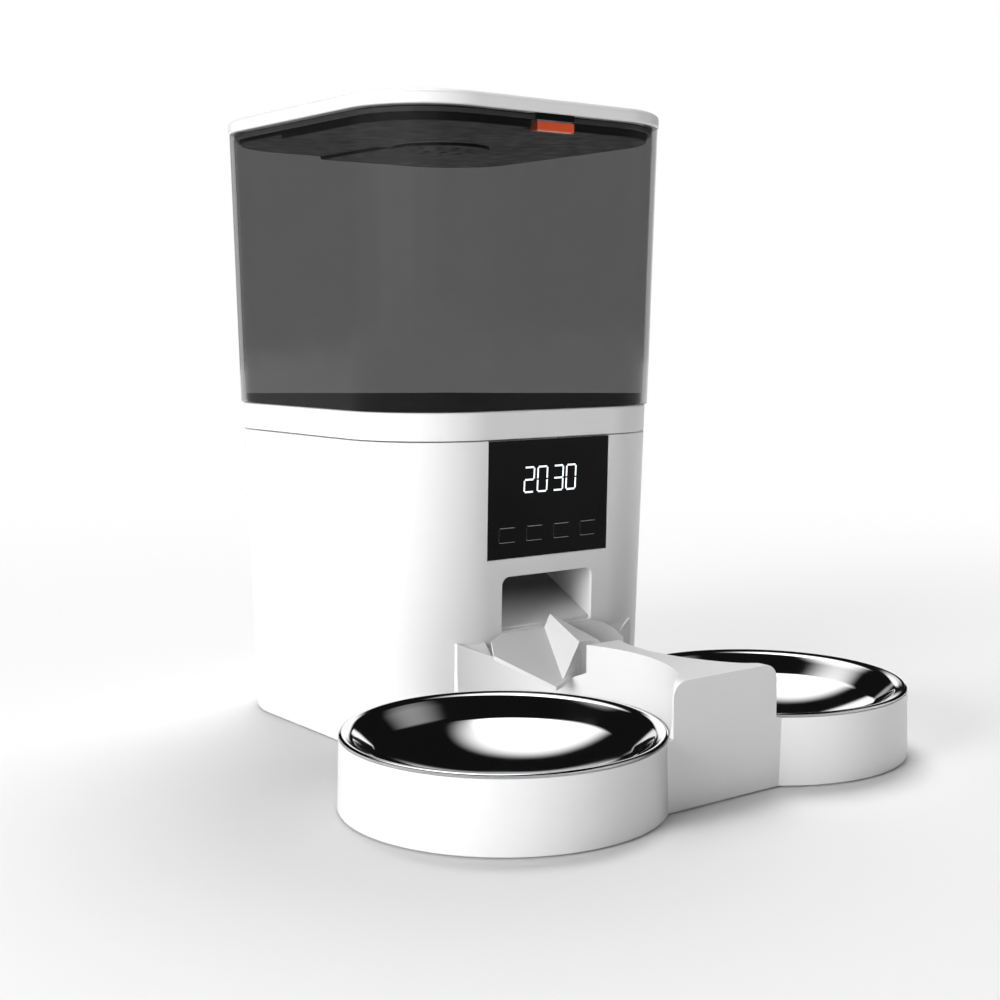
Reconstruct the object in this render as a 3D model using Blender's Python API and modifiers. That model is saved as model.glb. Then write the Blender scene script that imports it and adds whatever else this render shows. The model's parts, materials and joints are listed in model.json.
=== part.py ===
"""Automatic pet feeder: hopper on a dispensing base, a two-way splitter and a stand with two steel bowls.

Metres, +Z up, the front faces -Y. The origin is under the middle of the whole feeder, on the surface it
stands on. The empty "feeder" stands under the middle of the dispensing base, and every piece is placed from it.
"""
import math

import bmesh
import bpy
from mathutils import Matrix, Vector

MM = 0.001
GAP = 0.3 * MM

# Dispensing base (half-widths grow with height; the depth is always DEPTH_EXTRA more than the width, each side)
DEPTH_EXTRA = 7.6 * MM
BASE_FOOT_HALF = 90.5 * MM
BASE_SEAM_HALF = 94.3 * MM
BASE_CORNER = 52.0 * MM
SHELL_WALL = 2.6 * MM
SHELL_BOTTOM = 0.6 * MM
SEAM_Z = 165.2 * MM
FACE_LEAN = math.atan2(BASE_SEAM_HALF - BASE_FOOT_HALF, SEAM_Z)

# Collar, hopper and lid
COLLAR_TOP = 180.0 * MM
COLLAR_TOP_HALF = 94.6 * MM
HOPPER_BOTTOM = 180.3 * MM
HOPPER_TOP = 332.3 * MM
HOPPER_BOTTOM_HALF = 95.0 * MM
HOPPER_TOP_HALF = 97.3 * MM
HOPPER_WALL = 2.4 * MM
LID_BOTTOM = 332.6 * MM
LID_TOP = 340.0 * MM
LID_HALF = 97.8 * MM
PLUG_BOTTOM = 325.0 * MM
PLUG_HALF_X = 85.0 * MM
PLUG_HALF_Y = 99.5 * MM

# Front: display window, keys and chute mouth
PANEL_HALF_X = 40.5 * MM
PANEL_BOTTOM = 102.8 * MM
PANEL_THICKNESS = 2.2 * MM
KEY_SIZE = (11.0 * MM, 5.5 * MM, 7.3 * MM)
KEY_Z = 115.1 * MM
KEY_PITCH = 18.3 * MM
KEY_PROUD = 0.3 * MM
DIGITS_Z = 143.65 * MM
MOUTH_HALF_X = 30.5 * MM
MOUTH_BOTTOM = 64.2 * MM
MOUTH_TOP = 93.0 * MM
MOUTH_Y = -99.6 * MM
CHUTE_SLOPE = 0.5

# Rotor and its drive, on vertical axes
ROTOR_Y = 6.0 * MM
ROTOR_BORE = 50.5 * MM
ROTOR_FLOOR = 112.0 * MM
ROTOR_TOP = 147.0 * MM
ROTOR_BLADES = 6
SHAFT_RADIUS = 3.0 * MM
GEAR_MODULE = 1.2 * MM
GEAR_TEETH = 30
PINION_TEETH = 10
GEAR_Z = 104.0 * MM
GEAR_WIDTH = 6.0 * MM
PINION_Y = ROTOR_Y + GEAR_MODULE * (GEAR_TEETH + PINION_TEETH) / 2
MOTOR_RADIUS = 14.0 * MM

# Battery bay
CELL_RADIUS = 16.6 * MM
CELL_LENGTH = 61.5 * MM
CELL_PITCH = 36.0 * MM
CELL_Z = 23.6 * MM
BAY_HALF_X = 56.0 * MM
BAY_FRONT = 17.0 * MM
BAY_BACK = 88.0 * MM
BAY_TOP = 43.5 * MM

# Power inlet, in the back wall
JACK_X = -28.0 * MM
JACK_Z = 54.0 * MM

# Bowl stand
BOWL_X = 85.8 * MM
BOWL_Y = -172.1 * MM
CUP_BASE_RADIUS = 77.9 * MM
CUP_TOP_RADIUS = 77.1 * MM
CUP_TOP = 34.9 * MM
CUP_WELL_RADIUS = 74.2 * MM
CUP_FLOOR = 3.4 * MM
STAND_BOTTOM = 0.9 * MM
BRIDGE_TOP = 62.0 * MM
BRIDGE_FRONT = -232.6 * MM
BRIDGE_CLEARANCE_RADIUS = 80.8 * MM
BRIDGE_FLARE_TOP = 46.0 * MM
WING_HALF_X = 59.5 * MM
BOWL_RIM_RADIUS = 76.9 * MM
BOWL_RIM_TOP = 36.5 * MM
CRADLE_DROP = 7.2 * MM
CRADLE_HALF_X = 43.0 * MM

# The overall box runs from the front of the cups to the back of the lid: the origin is under its middle
FRONT_REACH = CUP_BASE_RADIUS - BOWL_Y
BACK_REACH = LID_HALF + DEPTH_EXTRA
BODY_Y = (FRONT_REACH - BACK_REACH) / 2

CORNER_STEPS = 7
TURN_STEPS = 32
CUP_STEPS = 64


# ---------------------------------------------------------------- scene and helpers

def clear_scene():
    for item in list(bpy.data.objects):
        bpy.data.objects.remove(item, do_unlink=True)


def new_collection(name):
    collection = bpy.data.collections.new(name)
    bpy.context.scene.collection.children.link(collection)
    return collection


def material(name, colour, roughness, metallic=0.0, alpha=1.0):
    made = bpy.data.materials.new(name)
    made.use_nodes = True
    shader = made.node_tree.nodes["Principled BSDF"]
    shader.inputs["Base Color"].default_value = (*colour, 1.0)
    shader.inputs["Roughness"].default_value = roughness
    shader.inputs["Metallic"].default_value = metallic
    shader.inputs["Alpha"].default_value = alpha
    return made


def new_object(name, mesh, finish, location=(0, 0, 0), parent=None, smooth=True):
    piece = bpy.data.objects.new(name, mesh)
    piece.location = location
    piece.parent = parent or FEEDER
    if finish is None:
        CUTTERS.objects.link(piece)
        piece.hide_render = True
        piece.display_type = "WIRE"
    else:
        PARTS.objects.link(piece)
        mesh.materials.append(finish)
    if smooth:
        mesh.shade_smooth()
        mesh.set_sharp_from_angle(angle=math.radians(35))
    return piece


def mesh_from(bm, name):
    bmesh.ops.recalc_face_normals(bm, faces=bm.faces)
    mesh = bpy.data.meshes.new(name)
    bm.to_mesh(mesh)
    bm.free()
    return mesh


def combine(piece, cutter, operation="DIFFERENCE"):
    boolean = piece.modifiers.new(cutter.name, "BOOLEAN")
    boolean.operation = operation
    boolean.solver = "EXACT"
    boolean.object = cutter


def box(name, low, high, finish=None, location=(0, 0, 0), parent=None, bevel=0.0):
    """A box between two corners, given from its own origin."""
    low = Vector(low)
    size = Vector(high) - low
    bm = bmesh.new()
    bmesh.ops.create_cube(bm, size=1.0)
    bmesh.ops.scale(bm, vec=size, verts=bm.verts)
    bmesh.ops.translate(bm, vec=low + size / 2, verts=bm.verts)
    piece = new_object(name, mesh_from(bm, name), finish, location, parent, smooth=False)
    if bevel:
        edges = piece.modifiers.new("rounded edges", "BEVEL")
        edges.width = bevel
        edges.segments = 2
    return piece


def rounded_outline(half_x, half_y, radius, centre_y=0.0, steps=CORNER_STEPS):
    points = []
    for quarter, (side_x, side_y) in enumerate(((1, 1), (-1, 1), (-1, -1), (1, -1))):
        for step in range(steps + 1):
            angle = math.radians(90 * (quarter + step / steps))
            x = side_x * (half_x - radius) + radius * math.cos(angle)
            y = side_y * (half_y - radius) + radius * math.sin(angle) + centre_y
            points.append((x, y))
    return points


def circle_outline(radius, count=TURN_STEPS, centre=(0, 0)):
    turn = 2 * math.pi / count
    return [(centre[0] + radius * math.cos(turn * i), centre[1] + radius * math.sin(turn * i)) for i in range(count)]


def ring_stack(name, sections, finish=None, tube=False, location=(0, 0, 0), parent=None):
    """Lofts rounded sections (height, half_x, half_y, corner radius, centre_y) into one closed body.

    A tube joins the last section to the first; otherwise the first and last sections are capped.
    """
    bm = bmesh.new()
    loops = []
    for height, *shape in sections:
        loops.append([bm.verts.new((x, y, height)) for x, y in rounded_outline(*shape)])
    pairs = list(zip(loops, loops[1:]))
    if tube:
        pairs.append((loops[-1], loops[0]))
    for first, second in pairs:
        for index in range(len(first)):
            bm.faces.new((first[index - 1], first[index], second[index], second[index - 1]))
    if not tube:
        bm.faces.new(loops[0])
        bm.faces.new(loops[-1])
    bmesh.ops.remove_doubles(bm, verts=bm.verts, dist=0.000001)
    return new_object(name, mesh_from(bm, name), finish, location, parent)


def turned(name, profile, finish=None, location=(0, 0, 0), parent=None, steps=TURN_STEPS, closed=False):
    """A profile of (radius, height) points, listed down its outer side, turned about its own Z axis."""
    bm = bmesh.new()
    verts = [bm.verts.new((radius, 0.0, height)) for radius, height in profile]
    for first, second in zip(verts, verts[1:]):
        bm.edges.new((first, second))
    if closed:
        bm.edges.new((verts[-1], verts[0]))
    mesh = bpy.data.meshes.new(name)
    bm.to_mesh(mesh)
    bm.free()
    piece = new_object(name, mesh, finish, location, parent, smooth=False)
    screw = piece.modifiers.new("turned", "SCREW")
    screw.axis = "Z"
    screw.steps = steps
    screw.render_steps = steps
    screw.use_merge_vertices = True
    screw.merge_threshold = 0.00001
    screw.use_smooth_shade = True
    return piece


def disc(name, radius, low, high, finish=None, location=(0, 0, 0), parent=None, steps=TURN_STEPS):
    profile = [(0, high), (radius, high), (radius, low), (0, low)]
    return turned(name, profile, finish, location, parent, steps)


def sleeve(name, inner, outer, low, high, finish=None, location=(0, 0, 0), parent=None, steps=TURN_STEPS):
    profile = [(inner, high), (outer, high), (outer, low), (inner, low)]
    return turned(name, profile, finish, location, parent, steps, closed=True)


def hull_piece(name, points):
    """The convex body around some points, as a tool."""
    bm = bmesh.new()
    for point in points:
        bm.verts.new(point)
    hull = bmesh.ops.convex_hull(bm, input=bm.verts)
    spare = [item for item in hull["geom_interior"] if isinstance(item, bmesh.types.BMVert)]
    bmesh.ops.delete(bm, geom=spare, context="VERTS")
    return new_object(name, mesh_from(bm, name), None, smooth=False)


def flat_piece(name, outlines, low, high, finish=None, location=(0, 0, 0), parent=None, turn=None):
    """A flat outline, with holes where outlines lie inside it, given thickness from low to high.

    turn is a matrix that stands the flat piece up.
    """
    curve = bpy.data.curves.new(name, "CURVE")
    curve.dimensions = "2D"
    curve.fill_mode = "BOTH"
    curve.extrude = (high - low) / 2
    for outline in outlines:
        spline = curve.splines.new("POLY")
        spline.points.add(len(outline) - 1)
        for point, (x, y) in zip(spline.points, outline):
            point.co = (x, y, 0.0, 1.0)
        spline.use_cyclic_u = True
    drawn = bpy.data.objects.new(name + "_outline", curve)
    CUTTERS.objects.link(drawn)
    graph = bpy.context.evaluated_depsgraph_get()
    mesh = bpy.data.meshes.new_from_object(drawn.evaluated_get(graph))
    bpy.data.objects.remove(drawn, do_unlink=True)
    bpy.data.curves.remove(curve)
    mesh.materials.clear()
    bm = bmesh.new()
    bm.from_mesh(mesh)
    bmesh.ops.remove_doubles(bm, verts=bm.verts, dist=0.000005)
    bmesh.ops.translate(bm, vec=(0, 0, (high + low) / 2), verts=bm.verts)
    if turn is not None:
        bmesh.ops.transform(bm, matrix=turn, verts=bm.verts)
    bmesh.ops.recalc_face_normals(bm, faces=bm.faces)
    bm.to_mesh(mesh)
    bm.free()
    return new_object(name, mesh, finish, location, parent)


# A flat outline drawn as (y, z) and given thickness along X
SIDE_ON = Matrix(((0, 0, 1, 0), (1, 0, 0, 0), (0, 1, 0, 0), (0, 0, 0, 1)))
# A flat outline drawn as (x, z) and given thickness along -Y
FRONT_ON = Matrix(((1, 0, 0, 0), (0, 0, -1, 0), (0, 1, 0, 0), (0, 0, 0, 1)))


def axle(name, location):
    """An empty that a moving piece hangs from, standing on the piece's joint axis."""
    empty = bpy.data.objects.new(name, None)
    empty.empty_display_size = 0.01
    empty.location = location
    empty.parent = FEEDER
    PARTS.objects.link(empty)
    return empty


def base_half(height):
    """Half-width of the dispensing base's outer face at a height."""
    return BASE_FOOT_HALF + (BASE_SEAM_HALF - BASE_FOOT_HALF) * height / SEAM_Z


def base_section(height, inset=0.0):
    half = base_half(height) - inset
    return (height, half, half + DEPTH_EXTRA, BASE_CORNER - inset)


def front_face(height):
    """Y of the dispensing base's front face at a height."""
    return -base_half(height) - DEPTH_EXTRA


def chute_floor(y):
    return MOUTH_BOTTOM + CHUTE_SLOPE * (y - MOUTH_Y)


# ---------------------------------------------------------------- dispensing base

def make_body_shell():
    top = SEAM_Z - GAP
    sections = [
        base_section(SHELL_BOTTOM),
        base_section(top),
        base_section(top, SHELL_WALL),
        base_section(SHELL_BOTTOM, SHELL_WALL),
    ]
    shell = ring_stack("body_shell", sections, WHITE, tube=True)
    for index, (x, y) in enumerate(screw_places()):
        boss = disc(f"screw_boss_{index}", 7.5 * MM, 4.8 * MM, 26 * MM, None, (x, y, 0), steps=20)
        combine(shell, boss, "UNION")
        hole = disc(f"boss_hole_{index}", 1.8 * MM, 4 * MM, 22 * MM, None, (x, y, 0), steps=12)
        combine(shell, hole)
    half = PANEL_HALF_X + GAP
    combine(shell, box("window_hole", (-half, -0.11, PANEL_BOTTOM - GAP), (half, -0.09, 0.2)))
    radius = 4.5 * MM
    mouth = [(-MOUTH_HALF_X, MOUTH_BOTTOM), (MOUTH_HALF_X, MOUTH_BOTTOM)]
    for side, start in ((1, 0), (-1, 90)):
        for step in range(5):
            angle = math.radians(start + 22.5 * step)
            x = side * (MOUTH_HALF_X - radius) + radius * math.cos(angle)
            mouth.append((x, MOUTH_TOP - radius + radius * math.sin(angle)))
    combine(shell, flat_piece("mouth_hole", [mouth], 0.09, 0.11, turn=FRONT_ON))
    inlet = disc("inlet_hole", 4.5 * MM, 0.085, 0.115, None, (JACK_X, 0, JACK_Z), steps=24)
    inlet.rotation_euler = (math.radians(-90), 0, 0)
    combine(shell, inlet)


def screw_places():
    reach = 43.0 * MM * math.sqrt(0.5)
    x = BASE_FOOT_HALF - BASE_CORNER + reach
    y = BASE_FOOT_HALF + DEPTH_EXTRA - BASE_CORNER + reach
    return [(-x, -y), (x, -y), (-x, y), (x, y)]


def make_base_plate():
    inset = SHELL_WALL + GAP
    plate = ring_stack("base_plate", [base_section(1.5 * MM, inset), base_section(4.5 * MM, inset)], WHITE)
    opening = box(
        "battery_opening",
        (-BAY_HALF_X + 1.6 * MM, BAY_FRONT + 1.6 * MM, 0),
        (BAY_HALF_X - 1.6 * MM, BAY_BACK + 4.0 * MM, 6 * MM),
    )
    combine(plate, opening)
    for index, (x, y) in enumerate(screw_places()):
        profile = [(0, 6 * MM), (1.9 * MM, 6 * MM), (1.9 * MM, 3.4 * MM), (3.6 * MM, 3.4 * MM), (3.6 * MM, 0), (0, 0)]
        combine(plate, turned(f"screw_hole_{index}", profile, None, (x, y, 0), steps=16))
        profile = [(0, 3.1 * MM), (3.2 * MM, 3.1 * MM), (3.2 * MM, 1.8 * MM), (0, 1.8 * MM)]
        head = [(0, 18 * MM), (1.4 * MM, 18 * MM), (1.4 * MM, 3.1 * MM)]
        turned(f"case_screw_{index + 1}", head + profile[1:], STEEL, (x, y, 0), steps=16)
    for index, (x, y) in enumerate(((-60, -70), (60, -70), (-74, 30), (74, 30))):
        disc(f"base_foot_{index + 1}", 9 * MM, 0, 1.2 * MM, RUBBER, (x * MM, y * MM, 0), steps=24)


def make_battery_bay():
    wall = 1.6 * MM
    bay = box("battery_box", (-BAY_HALF_X, BAY_FRONT, 4.8 * MM), (BAY_HALF_X, BAY_BACK, BAY_TOP), GREY)
    inside = box(
        "battery_box_inside",
        (-BAY_HALF_X + wall, BAY_FRONT + wall, 0),
        (BAY_HALF_X - wall, BAY_BACK - wall, BAY_TOP - wall),
    )
    combine(bay, inside)
    door_low = (-BAY_HALF_X + wall + GAP, BAY_FRONT + wall + GAP, 1.5 * MM)
    door_high = (BAY_HALF_X - wall - GAP, BAY_BACK - 2.0 * MM, 3.6 * MM)
    door = box("battery_door", door_low, door_high, WHITE)
    for step in range(4):
        y = 74 * MM + 3 * MM * step
        groove = box(f"door_groove_{step}", (-14 * MM, y, 1.2 * MM), (14 * MM, y + 1.2 * MM, 2.0 * MM))
        combine(door, groove)
    for index in range(3):
        x = CELL_PITCH * (index - 1)
        make_cell(index, x)
        make_spring(index, x)


def make_cell(index, x):
    end = CELL_LENGTH / 2
    profile = [
        (0, end),
        (4.7 * MM, end),
        (4.7 * MM, end - 1.5 * MM),
        (CELL_RADIUS - 1 * MM, end - 1.5 * MM),
        (CELL_RADIUS, end - 2.5 * MM),
        (CELL_RADIUS, 1 * MM - end),
        (CELL_RADIUS - 1 * MM, -end),
        (0, -end),
    ]
    place = (x, BAY_FRONT + 2.0 * MM + end, CELL_Z)
    cell = turned(f"battery_{index + 1}", profile, CELL, place, steps=32)
    cell.rotation_euler = (math.radians(90), 0, 0)


def make_spring(index, x):
    turns = 2.5
    points = 30
    start = BAY_FRONT + 2.0 * MM + CELL_LENGTH + 0.8 * MM
    curve = bpy.data.curves.new(f"battery_spring_{index + 1}", "CURVE")
    curve.dimensions = "3D"
    curve.bevel_depth = 0.5 * MM
    curve.bevel_resolution = 1
    curve.use_fill_caps = True
    spline = curve.splines.new("POLY")
    spline.points.add(points)
    for step, point in enumerate(spline.points):
        share = step / points
        angle = 2 * math.pi * turns * share
        radius = (3.0 + 3.5 * share) * MM
        point.co = (x + radius * math.cos(angle), start + 3.9 * MM * share, CELL_Z + radius * math.sin(angle), 1)
    spring = bpy.data.objects.new(curve.name, curve)
    spring.parent = FEEDER
    curve.materials.append(STEEL)
    PARTS.objects.link(spring)


def make_collar():
    low = SEAM_Z + GAP
    lip = 16.0 * MM
    sections = [
        (low, BASE_SEAM_HALF, BASE_SEAM_HALF + DEPTH_EXTRA, BASE_CORNER),
        (COLLAR_TOP, COLLAR_TOP_HALF, COLLAR_TOP_HALF + DEPTH_EXTRA, BASE_CORNER),
    ]
    for height, inset in ((COLLAR_TOP, 2.8 * MM), (low + 2.4 * MM, 2.8 * MM), (low + 2.4 * MM, lip), (low, lip)):
        half = BASE_SEAM_HALF - inset
        sections.append((height, half, half + DEPTH_EXTRA, BASE_CORNER - inset))
    ring_stack("collar", sections, WHITE, tube=True)


# ---------------------------------------------------------------- rotor and drive

def make_rotor_housing():
    wall = 2.0 * MM
    floor = 2.5 * MM
    outer = ROTOR_BORE + wall
    profile = [
        (ROTOR_BORE, ROTOR_TOP),
        (outer, ROTOR_TOP),
        (outer, ROTOR_FLOOR),
        (6.3 * MM, ROTOR_FLOOR),
        (6.3 * MM, ROTOR_FLOOR + floor),
        (ROTOR_BORE, ROTOR_FLOOR + floor),
    ]
    housing = turned("rotor_housing", profile, GREY, (0, ROTOR_Y, 0), steps=48, closed=True)
    outlet = box("outlet_hole", (-24 * MM, -38 * MM, 0.1), (24 * MM, -16 * MM, 0.1155))
    combine(housing, outlet)
    bush_top = ROTOR_FLOOR + floor + 1.2 * MM
    sleeve("rotor_bush", 3.3 * MM, 6.0 * MM, ROTOR_FLOOR, bush_top, BRASS, (0, ROTOR_Y, 0), steps=24)
    hole = circle_outline(53.1 * MM, 48, (0, ROTOR_Y))
    half = base_half(0.148) - SHELL_WALL - GAP
    edge = rounded_outline(half, half + DEPTH_EXTRA, BASE_CORNER - SHELL_WALL)
    deck = flat_piece("mid_deck", [edge, hole], 147.5 * MM, 149.5 * MM, GREY)
    combine(deck, box("display_room", (-44 * MM, -0.11, 0.14), (44 * MM, -82 * MM, 0.16)))
    outlines = [circle_outline(52.6 * MM, 48), metering_opening(), circle_outline(SHAFT_RADIUS + 2 * GAP, 20)]
    flat_piece("metering_plate", outlines, 147.4 * MM, 149.2 * MM, GREY, (0, ROTOR_Y, 0))


def metering_opening():
    """The part ring over the rotor's back two thirds, where the food falls in."""
    outer = [polar(45 * MM, -25 + 230 * step / 20) for step in range(21)]
    inner = [polar(9 * MM, 205 - 230 * step / 10) for step in range(11)]
    return outer + inner


def polar(radius, degrees):
    angle = math.radians(degrees)
    return (radius * math.cos(angle), radius * math.sin(angle))


def make_rotor():
    low = ROTOR_FLOOR + 4.2 * MM
    half_blade = 1.2 * MM
    hub = 9.5 * MM
    tip = 49.2 * MM
    outline = []
    for blade in range(ROTOR_BLADES):
        facing = 360 / ROTOR_BLADES * blade
        for radius, side in ((hub, -1), (tip, -1), (tip, 1), (hub, 1)):
            spread = math.degrees(math.asin(half_blade / radius))
            outline.append(polar(radius, facing + side * spread))
        outline.append(polar(hub, facing + 180 / ROTOR_BLADES))
    bore = circle_outline(SHAFT_RADIUS + GAP, 20)
    flat_piece("rotor", [outline, bore], low, ROTOR_TOP - 1.5 * MM, RUBBER_GREY, (0, ROTOR_Y, 0))
    disc("rotor_shaft", SHAFT_RADIUS, 102.4 * MM, 156 * MM, STEEL, (0, ROTOR_Y, 0), steps=20)
    arms = []
    for arm in range(3):
        facing = 90 + 120 * arm
        for radius, turn in ((7, -22), (33, -5), (35, 0), (33, 5), (7, 22)):
            arms.append(polar(radius * MM, facing + turn))
    agitator = flat_piece("agitator", [arms, bore], 150.4 * MM, 155 * MM, RUBBER_GREY, (0, ROTOR_Y, 0))
    agitator.modifiers.new("rounded edges", "BEVEL").width = 0.6 * MM


def gear_outline(teeth, backlash):
    """An involute gear with 25 degree flanks and short teeth."""
    pressure = math.radians(25)
    pitch = GEAR_MODULE * teeth / 2
    base = pitch * math.cos(pressure)
    tip = pitch + 0.8 * GEAR_MODULE
    root = pitch - 1.05 * GEAR_MODULE
    half_tooth = math.pi / teeth / 2 - backlash / pitch
    at_pitch = math.tan(pressure) - pressure
    start = max(base, root)
    flank = []
    for step in range(4):
        radius = start + (tip - start) * step / 3
        roll = math.acos(base / radius)
        flank.append((radius, half_tooth + at_pitch - (math.tan(roll) - roll)))
    if root < base:
        flank.insert(0, (root, flank[0][1]))
    outline = []
    for tooth in range(teeth):
        facing = 2 * math.pi * tooth / teeth
        for radius, half in flank:
            outline.append(polar(radius, math.degrees(facing - half)))
        for radius, half in reversed(flank):
            outline.append(polar(radius, math.degrees(facing + half)))
    return outline


def make_drive():
    backlash = 0.14 * MM
    bore = circle_outline(SHAFT_RADIUS + GAP, 20)
    gear = flat_piece("drive_gear", [gear_outline(GEAR_TEETH, backlash), bore], GEAR_Z, GEAR_Z + GEAR_WIDTH, NYLON,
                      (0, ROTOR_Y, 0))
    half_pitch = 360 / GEAR_TEETH / 2
    gear.rotation_euler = (0, 0, math.radians(90 + half_pitch))
    pinion = flat_piece("motor_pinion", [gear_outline(PINION_TEETH, backlash)], GEAR_Z - 0.5 * MM,
                        GEAR_Z + GEAR_WIDTH + 0.5 * MM, NYLON, (0, PINION_Y, 0))
    pinion.rotation_euler = (0, 0, math.radians(-90))
    spindle = disc("pinion_spindle", 2.2 * MM, 93.6 * MM, GEAR_Z, None, (0, PINION_Y, 0), steps=16)
    combine(pinion, spindle, "UNION")
    profile = [
        (2.6 * MM, 99 * MM),
        (5.5 * MM, 99 * MM),
        (5.5 * MM, 97.5 * MM),
        (MOTOR_RADIUS, 97.5 * MM),
        (MOTOR_RADIUS, 66 * MM),
        (4 * MM, 66 * MM),
        (4 * MM, 63.5 * MM),
        (0, 63.5 * MM),
    ]
    turned("gear_motor", [(0, 93 * MM), (2.6 * MM, 93 * MM)] + profile, STEEL, (0, PINION_Y, 0), steps=32)
    bracket = box("motor_bracket", (-25 * MM, -4 * MM, 99.6 * MM), (25 * MM, 50 * MM, 102 * MM), GREY)
    for side in (-1, 1):
        low, high = sorted((side * 23 * MM, side * 25 * MM))
        cheek = box(f"bracket_cheek_{side}", (low, -4 * MM, 101 * MM), (high, 50 * MM, ROTOR_FLOOR - GAP))
        combine(bracket, cheek, "UNION")
    combine(bracket, disc("pinion_hole", 3.2 * MM, 0.09, 0.11, None, (0, PINION_Y, 0), steps=20))


# ---------------------------------------------------------------- chute, display, keys and electronics

def make_chute():
    front = front_face(MOUTH_BOTTOM) + SHELL_WALL + 2 * GAP
    back = -16 * MM
    inner = [
        (front - 5 * MM, chute_floor(front - 5 * MM)),
        (back, chute_floor(back)),
        (back, 0.12),
        (-39 * MM, 0.12),
        (-52 * MM, MOUTH_TOP + 1 * MM),
        (front - 5 * MM, MOUTH_TOP + 1 * MM),
    ]
    top = ROTOR_FLOOR - GAP
    wall = 1.8 * MM
    outer = [
        (front, chute_floor(front) - 2.2 * MM),
        (back + wall, chute_floor(back) - 1.4 * MM),
        (back + wall, top),
        (-42 * MM, top),
        (-53.5 * MM, MOUTH_TOP + 1 * MM + wall),
        (front, MOUTH_TOP + 1 * MM + wall),
    ]
    half = MOUTH_HALF_X + 0.3 * MM
    duct = flat_piece("chute_duct", [outer], -half - wall, half + wall, WHITE, turn=SIDE_ON)
    combine(duct, flat_piece("chute_inside", [inner], -half, half, turn=SIDE_ON))


def make_display():
    top = SEAM_Z - 2 * GAP
    tilt = (FACE_LEAN, 0, 0)
    window = box("display_window", (-PANEL_HALF_X, 0, 0), (PANEL_HALF_X, PANEL_THICKNESS, top - PANEL_BOTTOM), BLACK_GLOSS,
                 (0, front_face(PANEL_BOTTOM), PANEL_BOTTOM))
    window.rotation_euler = tilt
    for index in range(4):
        x = KEY_PITCH * (index - 1.5)
        half_x = KEY_SIZE[0] / 2
        half_z = KEY_SIZE[2] / 2
        place = (x, front_face(KEY_Z), KEY_Z)
        hole = box(f"key_hole_{index}", (-half_x - GAP, -5 * MM, -half_z - GAP), (half_x + GAP, 5 * MM, half_z + GAP),
                   None, place)
        hole.rotation_euler = tilt
        combine(window, hole)
        key = box(f"key_{index + 1}", (-half_x, -KEY_PROUD, -half_z), (half_x, KEY_SIZE[1] - KEY_PROUD, half_z),
                  BLACK_GLOSS, place, bevel=0.25 * MM)
        key.rotation_euler = tilt
    box("led_module", (-25.1 * MM, -98.1 * MM, DIGITS_Z - 9.5 * MM), (25.1 * MM, -91.9 * MM, DIGITS_Z + 9.5 * MM), BLACK)
    board_front = -91.6 * MM
    board = box("control_board", (-42 * MM, board_front, 99.2 * MM), (42 * MM, board_front + 1.6 * MM, 163 * MM), BOARD)
    for index in range(4):
        x = KEY_PITCH * (index - 1.5)
        switch = box(f"key_switch_{index}", (x - 3 * MM, board_front - 2.4 * MM, KEY_Z - 3 * MM),
                     (x + 3 * MM, board_front + 0.5 * MM, KEY_Z + 3 * MM))
        combine(board, switch, "UNION")
    back = board_front + 1 * MM
    chips = (("processor", 0, 140, 6, 6, 1.8), ("motor_driver", 22, 120, 3, 4, 1.9), ("motor_socket", -28, 108, 5, 3, 6.5),
             ("buzzer", -24, 148, 6, 6, 7.5), ("power_socket", 26, 150, 4, 3, 6.5))
    for name, x, z, half_x, half_z, height in chips:
        chip = box(name, ((x - half_x) * MM, back, (z - half_z) * MM), ((x + half_x) * MM, back + height * MM,
                   (z + half_z) * MM))
        combine(board, chip, "UNION")


def make_dc_jack():
    face = base_half(JACK_Z) + DEPTH_EXTRA - 0.4 * MM
    place = (JACK_X, face, JACK_Z)
    jack = box("dc_jack", (-4.5 * MM, -14 * MM, -5.5 * MM), (4.5 * MM, -3.2 * MM, 5.5 * MM), BLACK, place)
    profile = [(0, 0), (4.1 * MM, 0), (4.1 * MM, -5 * MM), (0, -5 * MM)]
    nose = turned("jack_nose", profile, None, place, steps=24)
    socket = [(1.0 * MM, 2 * MM), (2.9 * MM, 2 * MM), (2.9 * MM, -9 * MM), (1.0 * MM, -9 * MM)]
    bore = turned("jack_bore", socket, None, place, steps=20, closed=True)
    pin_tip = disc("jack_pin_tip", 1.2 * MM, -1.5 * MM, 3 * MM, None, place, steps=16)
    for tool, operation in ((nose, "UNION"), (bore, "DIFFERENCE"), (pin_tip, "DIFFERENCE")):
        tool.rotation_euler = (math.radians(-90), 0, 0)
        combine(jack, tool, operation)


# ---------------------------------------------------------------- hopper and lid

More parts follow.
